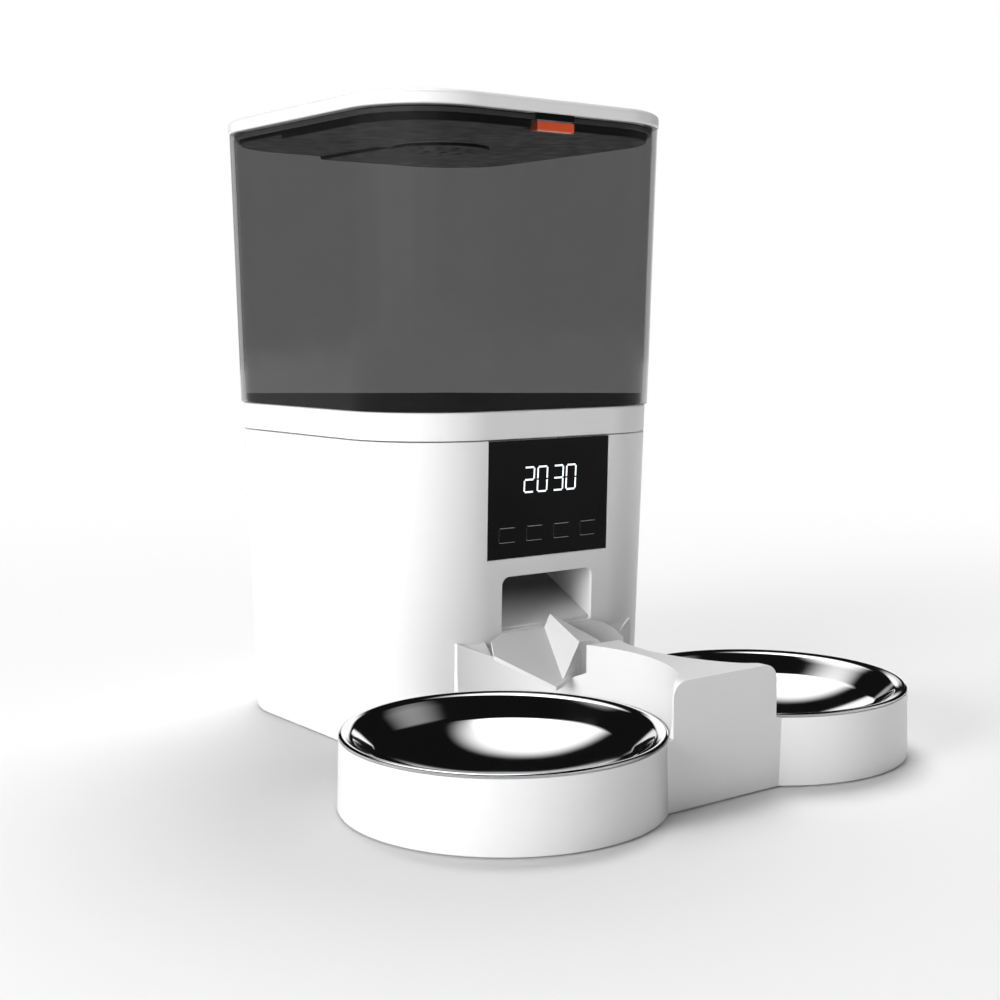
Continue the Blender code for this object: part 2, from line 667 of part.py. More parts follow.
def make_hopper():
    inner_bottom = HOPPER_BOTTOM_HALF - HOPPER_WALL
    inner_top = HOPPER_TOP_HALF - HOPPER_WALL
    sections = [
        (HOPPER_BOTTOM, HOPPER_BOTTOM_HALF, HOPPER_BOTTOM_HALF + DEPTH_EXTRA, 50 * MM),
        (HOPPER_TOP, HOPPER_TOP_HALF, HOPPER_TOP_HALF + DEPTH_EXTRA, 47.5 * MM),
        (HOPPER_TOP, inner_top, inner_top + DEPTH_EXTRA, 47.5 * MM - HOPPER_WALL),
        (HOPPER_BOTTOM, inner_bottom, inner_bottom + DEPTH_EXTRA, 50 * MM - HOPPER_WALL),
    ]
    hopper = ring_stack("hopper", sections, SMOKED, tube=True)
    combine(hopper, box("latch_notch", (-12.6 * MM, -0.12, 323.0 * MM), (12.6 * MM, -0.09, 0.34)))
    throat = 48 * MM
    bore = 46 * MM
    outline = [
        (189.8, 92.1, 99.7, 48.5, 0),
        (180.8, 91.9, 99.5, 48.5, 0),
        (180.8, 90.9, 98.5, 49.0, 0),
        (175.0, 90.6, 98.2, 49.0, 0),
    ]
    sections = [tuple(value * MM for value in row) for row in outline]
    sections += [(z * MM, throat, throat, throat, ROTOR_Y) for z in (153.0, 150.2)]
    sections += [(z * MM, bore, bore, bore, ROTOR_Y) for z in (150.2, 153.8)]
    sections += [tuple(value * MM for value in row) for row in ((176.6, 88.7, 96.3, 47, 0), (189.8, 90.3, 97.9, 46.7, 0))]
    ring_stack("hopper_funnel", sections, BLACK, tube=True)


def lid_section(height, half, radius=None):
    return (height, half, half + DEPTH_EXTRA, radius or half - 50 * MM)


def make_lid():
    rim = LID_BOTTOM
    cover = [
        lid_section(337.4 * MM, 95.0 * MM),
        lid_section(rim, 95.2 * MM),
        lid_section(rim, LID_HALF),
        lid_section(336.4 * MM, LID_HALF),
        lid_section(338.4 * MM, 97.0 * MM),
        lid_section(339.5 * MM, 95.5 * MM),
        lid_section(LID_TOP, 93.0 * MM),
    ]
    ring_stack("lid_cover", cover, WHITE)
    shelf = 331.6 * MM
    plug_top = 337.0 * MM
    plug = [
        (PLUG_BOTTOM + 2 * MM, 83 * MM, 97.5 * MM, 40 * MM),
        (shelf + 1.8 * MM, 83.4 * MM, 97.9 * MM, 40 * MM),
        (shelf + 1.8 * MM, 92 * MM, 99.6 * MM, 42 * MM),
        (plug_top, 92 * MM, 99.6 * MM, 42 * MM),
        (plug_top, 94 * MM, 101.6 * MM, 44 * MM),
        (shelf, 94 * MM, 101.6 * MM, 44 * MM),
        (shelf, PLUG_HALF_X + 0.6 * MM, PLUG_HALF_Y + 0.5 * MM, 42 * MM),
        (PLUG_BOTTOM, PLUG_HALF_X, PLUG_HALF_Y, 42 * MM),
    ]
    plug = ring_stack("lid_plug", plug, BLACK)
    pocket = box("latch_pocket", (-12.6 * MM, -102.1 * MM, 320 * MM), (12.6 * MM, -93.0 * MM, 328.6 * MM))
    combine(plug, pocket)
    combine(plug, disc("desiccant_hole", 26.2 * MM, 0.32, 0.33, steps=40))
    seal_low = 329.2 * MM
    seal_high = shelf - GAP
    seal = [
        (seal_low, 94.4 * MM, 102.0 * MM, 46 * MM),
        (seal_high, 94.4 * MM, 102.0 * MM, 46 * MM),
        (seal_high, 86.2 * MM, 100.6 * MM, 42 * MM),
        (seal_low, 86.2 * MM, 100.6 * MM, 42 * MM),
    ]
    ring_stack("lid_gasket", seal, RUBBER_GREY, tube=True)
    tab = box("catch_tab", (-12.2 * MM, -104.4 * MM, 328.8 * MM), (12.2 * MM, -102.3 * MM, 332.2 * MM))
    neck = box("catch_neck", (-12.2 * MM, -102.5 * MM, 331.9 * MM), (12.2 * MM, -101.0 * MM, 335.0 * MM))
    combine(plug, tab, "UNION")
    combine(plug, neck, "UNION")
    box("lid_latch", (-12 * MM, -104.7 * MM, 323.5 * MM), (12 * MM, -97.0 * MM, 328.2 * MM), ORANGE, bevel=0.5 * MM)
    cup = [
        (0, 336.5 * MM),
        (25.8 * MM, 336.5 * MM),
        (25.8 * MM, 325.0 * MM),
        (24.3 * MM, 325.0 * MM),
        (24.3 * MM, 335.0 * MM),
        (0, 335.0 * MM),
    ]
    turned("desiccant_cup", cup, WHITE)
    vents = [circle_outline(28 * MM, 40)]
    for radius, count in ((8 * MM, 4), (17 * MM, 10)):
        for index in range(count):
            vents.append(circle_outline(2.2 * MM, 6, polar(radius, 360 * (index + 0.5) / count)))
    flat_piece("desiccant_cover", vents, 322.8 * MM, 324.6 * MM, BLACK)


# ---------------------------------------------------------------- bowl stand, bowls and splitter

def bowl_clearance(name, side):
    """What the bowl and its rim take out of the bridge: the well, then flared, then straight up."""
    inside_cup = (CUP_WELL_RADIUS + CUP_TOP_RADIUS) / 2
    profile = [
        (0, 0.09),
        (BRIDGE_CLEARANCE_RADIUS, 0.09),
        (BRIDGE_CLEARANCE_RADIUS, BRIDGE_FLARE_TOP),
        (CUP_TOP_RADIUS + 0.5 * MM, 36.2 * MM),
        (CUP_TOP_RADIUS - 0.3 * MM, CUP_TOP - 0.4 * MM),
        (inside_cup, CUP_TOP - 0.4 * MM),
        (inside_cup, CUP_FLOOR - 1 * MM),
        (0, CUP_FLOOR - 1 * MM),
    ]
    return turned(name, profile, None, (side * BOWL_X, BOWL_Y, 0), steps=CUP_STEPS)


def bowl_column(name, side, radius):
    """A plain upright column around a bowl, which the hollow under the bridge stays outside."""
    return disc(name, radius, -0.04, 0.09, None, (side * BOWL_X, BOWL_Y, 0), steps=CUP_STEPS)


def bridge_front_outline(inset):
    """The bridge seen from the front, with its two rounded top corners."""
    half = 34.2 * MM - inset
    foot = 38.0 * MM - inset
    radius = 8 * MM
    top = BRIDGE_TOP - inset
    outline = [(-foot, 0), (foot, 0), (foot, CUP_TOP), (half, CUP_TOP + 1 * MM)]
    for side, start in ((1, 0), (-1, 90)):
        for step in range(7):
            angle = math.radians(start + 15 * step)
            outline.append((side * (half - radius) + radius * math.cos(angle), top - radius + radius * math.sin(angle)))
    outline += [(-half, CUP_TOP + 1 * MM), (-foot, CUP_TOP)]
    return outline


def cradle_outline(lift):
    """Side view (y, z) of the sloping cradle that the splitter rests in, open above."""
    def plane(y):
        return chute_floor(y) - CRADLE_DROP + lift
    front_low = -135 * MM
    front_top = -143.8 * MM
    return [(-80 * MM, plane(-80 * MM)), (-80 * MM, 0.1), (front_top, 0.1), (front_top, 47.5 * MM + lift),
            (front_low, plane(front_low))]


def wing_top_cut(name, side):
    """What is cut off a wing's top, which falls steeply from the base's front face to the wing's own front edge."""
    rear = ((WING_HALF_X / MM, -94.5), (51.5, -97.0), (46.0, -98.2), (40.9, -98.6))
    front = ((WING_HALF_X / MM, -95.8, 61.9), (51.5, -98.9, 57.0), (46.0, -101.7, 54.8), (40.9, -104.2, 52.8))
    points = []
    for (x, y), (front_x, front_y, front_z) in zip(rear, front):
        points += [(x, y, BRIDGE_TOP / MM), (x, y, 90), (front_x, front_y, front_z)]
        points += [(front_x, front_y - 12, front_z), (front_x, front_y - 12, 90)]
    return hull_piece(name, [(side * x * MM, y * MM, z * MM) for x, y, z in points])


def bridge_solid(name, finish, inset, low):
    """The bridge and its wings, as the outer body or, inset by the wall thickness, as the hollow inside it."""
    middle = -165 * MM
    front = flat_piece(name, [bridge_front_outline(inset)], -middle, -BRIDGE_FRONT - inset, finish, turn=FRONT_ON)
    wing = WING_HALF_X - inset
    rear = box(name + "_wings", (-wing, middle - 1 * MM, 0), (wing, -60 * MM, BRIDGE_TOP - inset))
    combine(front, rear, "UNION")
    room = 0.6 * MM + inset
    body = [base_section(-5 * MM, -room), base_section(90 * MM, -room)]
    combine(front, ring_stack(name + "_body_room", body))
    reach = CRADLE_HALF_X + inset
    combine(front, flat_piece(name + "_cradle", [cradle_outline(-inset)], -reach, reach, turn=SIDE_ON))
    for side in (-1, 1):
        if inset:
            low_x, high_x = sorted((side * 39 * MM, side * 80 * MM))
            combine(front, box(f"{name}_thin_wing_{side}", (low_x, -0.12, 44 * MM), (high_x, -0.05, 0.1)))
        else:
            combine(front, wing_top_cut(f"{name}_wing_top_{side}", side))
    for side in (-1, 1):
        bowl_name = f"{name}_bowl_{side}"
        if inset:
            combine(front, bowl_column(bowl_name, side, BRIDGE_CLEARANCE_RADIUS + inset))
        else:
            combine(front, bowl_clearance(bowl_name, side))
    under = box(name + "_under", (-0.2, -0.3, -0.05), (0.2, 0, low))
    combine(front, under)
    return front


def make_bowl_stand():
    wall = 2.4 * MM
    stand = bridge_solid("bowl_stand", WHITE, 0, STAND_BOTTOM)
    for side in (-1, 1):
        place = (side * BOWL_X, BOWL_Y, 0)
        profile = [(0, CUP_FLOOR), (CUP_WELL_RADIUS, CUP_FLOOR), (CUP_WELL_RADIUS, CUP_TOP),
                   (CUP_TOP_RADIUS - 0.8 * MM, CUP_TOP), (CUP_TOP_RADIUS, CUP_TOP - 0.8 * MM),
                   (CUP_BASE_RADIUS, STAND_BOTTOM), (0, STAND_BOTTOM)]
        combine(stand, turned(f"cup_{side}", profile, None, place, steps=CUP_STEPS), "UNION")
    combine(stand, bridge_solid("bridge_hollow", None, wall, -0.02))
    for side in (-1, 1):
        for index, degrees in enumerate((-90, 30, 150)):
            x, y = polar(60 * MM, degrees)
            name = f"stand_pad_{'left' if side < 0 else 'right'}_{index + 1}"
            disc(name, 7 * MM, 0, STAND_BOTTOM - GAP, RUBBER, (side * BOWL_X + x, BOWL_Y + y, 0), steps=20)


def make_bowls():
    inside = [(74.4, 36.2), (72.3, 34.6), (68.5, 25.0), (62.5, 15.2), (54.0, 11.9), (0, 11.2)]
    rim = [(BOWL_RIM_RADIUS / MM, 35.9), (75.8, BOWL_RIM_TOP / MM)]
    outside = [(0, 10.3), (54.3, 11.0), (63.2, 14.4), (69.4, 24.6), (72.6, 33.9), (73.9, 35.25), (76.6, 35.25)]
    down = list(reversed(outside))
    profile = [(r * MM, z * MM) for r, z in [*reversed(inside), *reversed(rim), *down]]
    for name, side in (("bowl_left", -1), ("bowl_right", 1)):
        centre = Vector((side * BOWL_X, BOWL_Y, 0))
        toward_splitter = Vector((-side * 0.61, 0.79, 0)).normalized()
        tip_axis = centre + toward_splitter * BOWL_RIM_RADIUS + Vector((0, 0, 35.3 * MM))
        hinge = axle(name + "_tip_axis", tip_axis)
        turned(name, profile, STAINLESS, centre - tip_axis, hinge, steps=48)


def make_splitter():
    """A sloping two-way tray with a roof-shaped divider on it, and two skirts that stand in the cradle."""
    drop = 2.2 * MM
    back_y = front_face(MOUTH_BOTTOM) - 0.8 * MM
    plan = [(-32, back_y / MM), (-42.6, -104.9), (-48.7, -115.4), (-29.8, -142.7), (-23.5, -140.6), (-6.8, -132.2),
            (6.8, -132.2), (23.5, -140.6), (29.8, -142.7), (48.7, -115.4), (42.6, -104.9), (32, back_y / MM)]
    bm = bmesh.new()
    top = [bm.verts.new((x * MM, y * MM, chute_floor(y * MM))) for x, y in plan]
    face = bm.faces.new(top)
    grown = bmesh.ops.extrude_face_region(bm, geom=[face])
    bmesh.ops.translate(bm, vec=(0, 0, -drop), verts=[v for v in grown["geom"] if isinstance(v, bmesh.types.BMVert)])
    tray = new_object("splitter", mesh_from(bm, "splitter"), WHITE, smooth=False)
    for index, points in enumerate(divider_hulls()):
        hull = hull_piece(f"divider_{index}", [(x * MM, y * MM, z * MM) for x, y, z in points])
        combine(tray, hull, "UNION")
    for side in (-1, 1):
        foot = [(-101.5 * MM, chute_floor(-101.5 * MM) - 1 * MM), (-132 * MM, chute_floor(-132 * MM) - 1 * MM),
                (-132 * MM, chute_floor(-132 * MM) - CRADLE_DROP + GAP),
                (-101.5 * MM, chute_floor(-101.5 * MM) - CRADLE_DROP + GAP)]
        low, high = sorted((side * 12 * MM, side * 14 * MM))
        combine(tray, flat_piece(f"splitter_foot_{side}", [foot], low, high, turn=SIDE_ON), "UNION")


def divider_hulls():
    """The roof-shaped divider as three convex bodies: an upright prow, and a flank down to each tray."""
    back = (front_face(MOUTH_BOTTOM) - 0.8 * MM) / MM
    apex = (0, back, 70.6)
    prow = [apex]
    flanks = []
    for side in (-1, 1):
        ridge_end = (side * 6, -132.3, 61.1)
        prow_foot = (side * 6.8, -132.2, 46.5)
        root = (side * 3.4, back, 61.0)
        prow += [ridge_end, prow_foot, root]
        flanks.append([apex, ridge_end, prow_foot, root, (0, back, 61.0), (side * 22.5, -139.0, 44.4),
                       (side * 4, back, 63.2)])
    return [prow, *flanks]


clear_scene()
PARTS = new_collection("automatic_pet_feeder")
CUTTERS = new_collection("cutters")
FEEDER = bpy.data.objects.new("feeder", None)
FEEDER.location = (0, BODY_Y, 0)
PARTS.objects.link(FEEDER)

WHITE = material("white_abs", (0.85, 0.85, 0.86), 0.32)
GREY = material("grey_abs", (0.32, 0.33, 0.34), 0.5)
BLACK = material("black_abs", (0.02, 0.02, 0.022), 0.4)
BLACK_GLOSS = material("black_gloss", (0.008, 0.008, 0.01), 0.08)
SMOKED = material("smoked_clear", (0.06, 0.06, 0.065), 0.08, alpha=0.6)
ORANGE = material("orange_abs", (0.9, 0.16, 0.02), 0.4)
STAINLESS = material("polished_stainless", (0.75, 0.75, 0.76), 0.06, metallic=1.0)
STEEL = material("plated_steel", (0.6, 0.6, 0.6), 0.35, metallic=1.0)
BRASS = material("brass", (0.7, 0.5, 0.2), 0.35, metallic=1.0)
NYLON = material("nylon", (0.8, 0.78, 0.7), 0.5)
RUBBER = material("black_rubber", (0.03, 0.03, 0.03), 0.8)
RUBBER_GREY = material("grey_silicone", (0.25, 0.25, 0.26), 0.7)
BOARD = material("circuit_board", (0.02, 0.14, 0.06), 0.45)
CELL = material("battery_sleeve", (0.12, 0.12, 0.13), 0.35, metallic=0.5)

make_body_shell()
make_base_plate()
make_battery_bay()
make_collar()
make_rotor_housing()
make_rotor()
make_drive()
make_chute()
make_display()
make_dc_jack()
make_hopper()
make_lid()
make_bowl_stand()
make_bowls()
make_splitter()
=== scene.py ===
"""Looks of the automatic pet feeder: finer pieces, materials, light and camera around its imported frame.

Metres, +Z up, the front faces -Y. Pieces are drawn about the middle of the dispensing base and stand there.
"""

import json
import math

import bmesh
import bpy
from mathutils import Matrix, Vector

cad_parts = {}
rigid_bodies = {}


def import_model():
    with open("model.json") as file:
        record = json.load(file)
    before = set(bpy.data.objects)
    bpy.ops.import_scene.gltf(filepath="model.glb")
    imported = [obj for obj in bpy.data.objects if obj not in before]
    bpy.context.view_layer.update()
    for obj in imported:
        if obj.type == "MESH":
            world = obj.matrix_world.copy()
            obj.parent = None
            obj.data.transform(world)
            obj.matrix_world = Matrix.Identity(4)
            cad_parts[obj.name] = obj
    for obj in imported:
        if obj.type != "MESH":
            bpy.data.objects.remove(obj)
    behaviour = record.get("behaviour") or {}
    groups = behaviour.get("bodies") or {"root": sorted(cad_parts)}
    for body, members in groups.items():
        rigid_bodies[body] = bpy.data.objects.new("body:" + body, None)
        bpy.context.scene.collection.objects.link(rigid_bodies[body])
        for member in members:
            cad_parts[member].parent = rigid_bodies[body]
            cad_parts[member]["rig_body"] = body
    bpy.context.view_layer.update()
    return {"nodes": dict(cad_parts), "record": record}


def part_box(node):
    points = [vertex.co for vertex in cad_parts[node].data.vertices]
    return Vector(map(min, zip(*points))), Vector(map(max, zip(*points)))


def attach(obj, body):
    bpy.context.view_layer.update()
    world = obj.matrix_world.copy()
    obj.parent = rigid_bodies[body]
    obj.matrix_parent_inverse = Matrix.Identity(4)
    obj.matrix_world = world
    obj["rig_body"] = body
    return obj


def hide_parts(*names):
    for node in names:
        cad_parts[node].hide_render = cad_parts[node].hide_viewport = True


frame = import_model()
NODES = frame["nodes"]

MM = 0.001
GAP = 0.3 * MM
CORNER_STEPS = 20
ROUND_STEPS = 160

# The camera stands at the photograph's viewing angle
CAMERA_PLACE = (-0.51765, -0.66641, 0.22281)
CAMERA_FORWARD = (0.6007, 0.7919, -0.1101)
CAMERA_LENS = 55.97
SENSOR = 36.0

# Where the dispensing base stands, and which finish each node has
SHELL_LOW, SHELL_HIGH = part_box("body_shell")
CENTRE = Vector(((SHELL_LOW.x + SHELL_HIGH.x) / 2, (SHELL_LOW.y + SHELL_HIGH.y) / 2, 0.0))
SLOT_OF = {item["node"]: item["material_slot"] for item in frame["record"]["subparts"]}

# Walls and openings
SHELL_WALL = 2.6 * MM
HOPPER_WALL = 2.4 * MM
MOUTH_CORNER = 4.5 * MM
MOUTH_FOOT_CORNER = 1.2 * MM
CHUTE_SLOPE = 0.5
BOWL_X = 85.8 * MM
BOWL_Y = -172.1 * MM
CUP_BASE_RADIUS = 77.9 * MM
CUP_TOP_RADIUS = 77.1 * MM
CUP_TOP = 34.5 * MM
CUP_WELL_RADIUS = 74.2 * MM
CUP_FLOOR = 3.4 * MM
STAND_BOTTOM = 0.9 * MM
BRIDGE_TOP = 62.0 * MM
BRIDGE_FRONT = -232.6 * MM
BRIDGE_CLEARANCE_RADIUS = 80.0 * MM
BRIDGE_FLARE_TOP = 46.0 * MM
BRIDGE_ROUND_BACK = -0.135
WING_HALF_X = 59.5 * MM
CRADLE_DROP = 7.2 * MM
CRADLE_HALF_X = 43.0 * MM
MOUTH_Y = -99.6 * MM
MOUTH_BOTTOM = 64.2 * MM
MOUTH_TOP = 93.0 * MM
MOUTH_HALF_X = 30.5 * MM
# How far into the chute the painted shade takes to reach its darkest
CHUTE_SHADE_DEPTH = 32 * MM

# The display, the keys and the mouth stand a little left of the middle
FRONT_X = -1.1 * MM

# The lid's latch, the pocket and the notch round it, and the catch under it
LATCH_ROOM_HALF_X = 12.6 * MM
CATCH_HALF_X = 12.2 * MM

# The display's digits: place along the panel in millimetres, and the segments of each character
DIGIT_PLACES = (-13.8, -5.0, 5.8, 14.5)
SEGMENTS = {"0": "abcdef", "2": "abged", "3": "abgcd"}

# The studio. A softbox is a direction, the cosines where it fades in and is full, and a strength
SOFTBOXES = (
    ((0.129, 0.483, 0.866), 0.905, 0.972, 2.0),
    ((0.1, 0.35, 0.93), 0.95, 0.985, 1.4),
    ((-0.9, -0.25, 0.2), 0.86, 0.94, 1.6),
    ((0.60, 0.79, 0.30), 0.985, 0.996, 1.5),
    ((0.42, 0.90, 0.07), 0.985, 0.998, 1.2),
    ((0.80, 0.59, 0.07), 0.99, 0.998, 1.6),
    ((-0.6, -0.75, 0.3), 0.86, 0.96, 1.0),
    ((-0.8, 0.35, 0.45), 0.82, 0.96, 0.9),
    ((0.75, -0.45, 0.5), 0.82, 0.96, 0.6),
)
EVEN_LIGHT = 0.275
MIRRORED_BASE = 0.008
FLOOR_HALF_SIZE = 6.0
FLOOR_FADE_START = 0.16
FLOOR_FADE_END = 1.3


# ---------------------------------------------------------------- helpers

def box_of(node):
    """A node's lowest and highest corners, seen from the middle of the dispensing base."""
    low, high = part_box(node)
    return low - CENTRE, high - CENTRE


def section_at(node, height):
    """(height, half_x, half_y, corner radius) of a node's rounded outline at one of its own heights."""
    ring = [v.co - CENTRE for v in NODES[node].data.vertices if abs(v.co.z - height) < 0.05 * MM]
    half_x = max(point.x for point in ring)
    half_y = max(point.y for point in ring)
    straight = max(point.y for point in ring if half_x - point.x < 0.01 * MM)
    return (height, half_x, half_y, half_y - straight)


def inset(section, depth, height=None):
    """The same rounded outline, moved in by a depth, and to another height if one is given."""
    own, half_x, half_y, radius = section
    return (own if height is None else height, half_x - depth, half_y - depth, radius - depth)


def between(low, high, height):
    """The rounded outline at a height on the straight loft between two sections."""
    share = (height - low[0]) / (high[0] - low[0])
    return tuple(a + (b - a) * share for a, b in zip(low, high))


def new_piece(name, mesh):
    piece = bpy.data.objects.new(name, mesh)
    piece.location = CENTRE
    bpy.context.scene.collection.objects.link(piece)
    return piece


def mesh_from(bm, name):
    bmesh.ops.recalc_face_normals(bm, faces=bm.faces)
    mesh = bpy.data.meshes.new(name)
    bm.to_mesh(mesh)
    bm.free()
    return mesh


def keep_result(piece):
    """The piece's modifiers become its mesh."""
    graph = bpy.context.evaluated_depsgraph_get()
    mesh = bpy.data.meshes.new_from_object(piece.evaluated_get(graph))
    piece.modifiers.clear()
    piece.data = mesh


def combine(piece, tool, operation="DIFFERENCE"):
    boolean = piece.modifiers.new(tool.name, "BOOLEAN")
    boolean.operation = operation
    boolean.solver = "EXACT"
    boolean.object = tool
    keep_result(piece)
    bpy.data.objects.remove(tool, do_unlink=True)


def clean_seams(piece, nearest=0.08 * MM):
    """Takes out the slivers that cuts leave, so that edges can be rounded evenly."""
    bm = bmesh.new()
    bm.from_mesh(piece.data)
    bmesh.ops.remove_doubles(bm, verts=bm.verts, dist=nearest)
    bmesh.ops.dissolve_limit(bm, angle_limit=math.radians(0.6), verts=bm.verts, edges=bm.edges)
    bm.to_mesh(piece.data)
    bm.free()


def round_edges(piece, width, segments=3, angle=40.0):
    edges = piece.modifiers.new("rounded edges", "BEVEL")
    edges.width = width
    edges.segments = segments
    edges.limit_method = "ANGLE"
    edges.angle_limit = math.radians(angle)
    keep_result(piece)


def shade(piece, angle=35.0):
    """Smooth shading that leaves flat faces flat."""
    piece.data.shade_smooth()
    piece.data.set_sharp_from_angle(angle=math.radians(angle))
    even = piece.modifiers.new("even shading", "WEIGHTED_NORMAL")
    even.keep_sharp = True


def stand_for(piece, *nodes):
    """The piece is shown in place of CAD nodes, on their body and with their finish."""
    slot = SLOT_OF[nodes[0]]
    piece.data.materials.clear()
    piece.data.materials.append(FINISH[slot])
    shade(piece)
    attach(piece, NODES[nodes[0]]["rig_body"])
    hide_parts(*nodes)


def rounded_outline(half_x, half_y, radius, steps=CORNER_STEPS):
    points = []
    for quarter, (side_x, side_y) in enumerate(((1, 1), (-1, 1), (-1, -1), (1, -1))):
        for step in range(steps + 1):
            angle = math.radians(90 * (quarter + step / steps))
            x = side_x * (half_x - radius) + radius * math.cos(angle)
            y = side_y * (half_y - radius) + radius * math.sin(angle)
            points.append((x, y))
    return points


def circle_outline(radius, count, centre=(0, 0)):
    turn = 2 * math.pi / count
    return [(centre[0] + radius * math.cos(turn * step), centre[1] + radius * math.sin(turn * step))
            for step in range(count)]


def polar(radius, degrees):
    angle = math.radians(degrees)
    return (radius * math.cos(angle), radius * math.sin(angle))


def loft(name, sections, tube=False):
    """A body through rounded sections (height, half_x, half_y, corner radius[, centre_y]).

    A tube closes on itself.
    """
    bm = bmesh.new()
    loops = []
    for height, half_x, half_y, radius, *middle in sections:
        shift = middle[0] if middle else 0.0
        outline = rounded_outline(half_x, half_y, radius)
        loops.append([bm.verts.new((x, y + shift, height)) for x, y in outline])
    pairs = list(zip(loops, loops[1:]))
    if tube:
        pairs.append((loops[-1], loops[0]))
    for first, second in pairs:
        for index in range(len(first)):
            bm.faces.new((first[index - 1], first[index], second[index], second[index - 1]))
    if not tube:
        bm.faces.new(loops[0])
        bm.faces.new(loops[-1])
    bmesh.ops.remove_doubles(bm, verts=bm.verts, dist=0.000001)
    return new_piece(name, mesh_from(bm, name))


def turned(name, profile, place=(0, 0, 0), steps=ROUND_STEPS, closed=False, turn=None):
    """A profile of (radius, height) points turned about an upright axis at a place."""
    bm = bmesh.new()
    rings = []
    for radius, height in profile:
        if radius < 0.001 * MM:
            rings.append([bm.verts.new((0, 0, height))])
        else:
            rings.append([bm.verts.new((x, y, height)) for x, y in circle_outline(radius, steps)])
    pairs = list(zip(rings, rings[1:]))
    if closed:
        pairs.append((rings[-1], rings[0]))
    for first, second in pairs:
        for index in range(steps):
            corners = [ring[i % len(ring)] for ring, i in
                       ((first, index - 1), (first, index), (second, index), (second, index - 1))]
            face = list(dict.fromkeys(corners))
            if len(face) > 2:
                bm.faces.new(face)
    if turn is not None:
        bmesh.ops.transform(bm, matrix=turn, verts=bm.verts)
    bmesh.ops.translate(bm, vec=place, verts=bm.verts)
    return new_piece(name, mesh_from(bm, name))


def block(name, low, high):
    bm = bmesh.new()
    bmesh.ops.create_cube(bm, size=1.0)
    low = Vector(low)
    size = Vector(high) - low
    bmesh.ops.scale(bm, vec=size, verts=bm.verts)
    bmesh.ops.translate(bm, vec=low + size / 2, verts=bm.verts)
    return new_piece(name, mesh_from(bm, name))


# Outlines drawn as (y, z) stand along X, and outlines drawn as (x, z) stand along -Y
SIDE_ON = Matrix(((0, 0, 1, 0), (1, 0, 0, 0), (0, 1, 0, 0), (0, 0, 0, 1)))
FRONT_ON = Matrix(((1, 0, 0, 0), (0, 0, -1, 0), (0, 1, 0, 0), (0, 0, 0, 1)))


def slab(name, outlines, low, high, turn=None):
    """A flat outline, with holes where outlines lie inside it, given thickness from low to high."""
    curve = bpy.data.curves.new(name, "CURVE")
    curve.dimensions = "2D"
    curve.fill_mode = "BOTH"
    curve.extrude = (high - low) / 2
    for outline in outlines:
        spline = curve.splines.new("POLY")
        spline.points.add(len(outline) - 1)
        for point, (x, y) in zip(spline.points, outline):
            point.co = (x, y, 0.0, 1.0)
        spline.use_cyclic_u = True
    drawn = bpy.data.objects.new(name + "_outline", curve)
    bpy.context.scene.collection.objects.link(drawn)
    graph = bpy.context.evaluated_depsgraph_get()
    mesh = bpy.data.meshes.new_from_object(drawn.evaluated_get(graph))
    bpy.data.objects.remove(drawn, do_unlink=True)
    bm = bmesh.new()
    bm.from_mesh(mesh)
    bmesh.ops.remove_doubles(bm, verts=bm.verts, dist=0.000002)
    bmesh.ops.translate(bm, vec=(0, 0, (high + low) / 2), verts=bm.verts)
    if turn is not None:
        bmesh.ops.transform(bm, matrix=turn, verts=bm.verts)
    return new_piece(name, mesh_from(bm, name))


def hull_of(name, points):
    """The convex body round a set of points."""
    bm = bmesh.new()
    for point in points:
        bm.verts.new(point)
    hull = bmesh.ops.convex_hull(bm, input=bm.verts)
    spare = [item for item in hull["geom_interior"] if isinstance(item, bmesh.types.BMVert)]
    bmesh.ops.delete(bm, geom=spare, context="VERTS")
    bmesh.ops.dissolve_limit(bm, angle_limit=math.radians(1), verts=bm.verts, edges=bm.edges)
    return new_piece(name, mesh_from(bm, name))


def rounded_rectangle(half_x, half_z, radius, steps=6, middle=(0, 0)):
    points = rounded_outline(half_x, half_z, radius, steps)
    return [(middle[0] + x, middle[1] + z) for x, z in points]


# ---------------------------------------------------------------- materials

def plain_material(name, colour, roughness, metallic=0.0):
    if name in bpy.data.materials:
        bpy.data.materials[name].name = name + "_cad"
    made = bpy.data.materials.new(name)
    made.use_nodes = True
    shader = made.node_tree.nodes["Principled BSDF"]
    shader.inputs["Base Color"].default_value = (*colour, 1.0)
    shader.inputs["Roughness"].default_value = roughness
    shader.inputs["Metallic"].default_value = metallic
    return made


def object_noise(made, scale, detail=3.0, stretch=(1, 1, 1)):
    """A noise texture in the piece's own metres; scale is in features per metre."""
    nodes = made.node_tree.nodes
    links = made.node_tree.links
    place = nodes.new("ShaderNodeTexCoord")
    mapping = nodes.new("ShaderNodeMapping")
    mapping.inputs["Scale"].default_value = stretch
    texture = nodes.new("ShaderNodeTexNoise")
    texture.inputs["Scale"].default_value = scale
    texture.inputs["Detail"].default_value = detail
    links.new(place.outputs["Object"], mapping.inputs["Vector"])
    links.new(mapping.outputs["Vector"], texture.inputs["Vector"])
    return texture.outputs["Fac"]


def ranged(made, value, low, high):
    """A noise value spread between two numbers."""
    node = made.node_tree.nodes.new("ShaderNodeMapRange")
    node.inputs["From Min"].default_value = 0.3
    node.inputs["From Max"].default_value = 0.7
    node.inputs["To Min"].default_value = low
    node.inputs["To Max"].default_value = high
    made.node_tree.links.new(value, node.inputs["Value"])
    return node.outputs["Result"]


def vary_roughness(made, scale, low, high, stretch=(1, 1, 1)):
    shader = made.node_tree.nodes["Principled BSDF"]
    spread = ranged(made, object_noise(made, scale, stretch=stretch), low, high)
    made.node_tree.links.new(spread, shader.inputs["Roughness"])


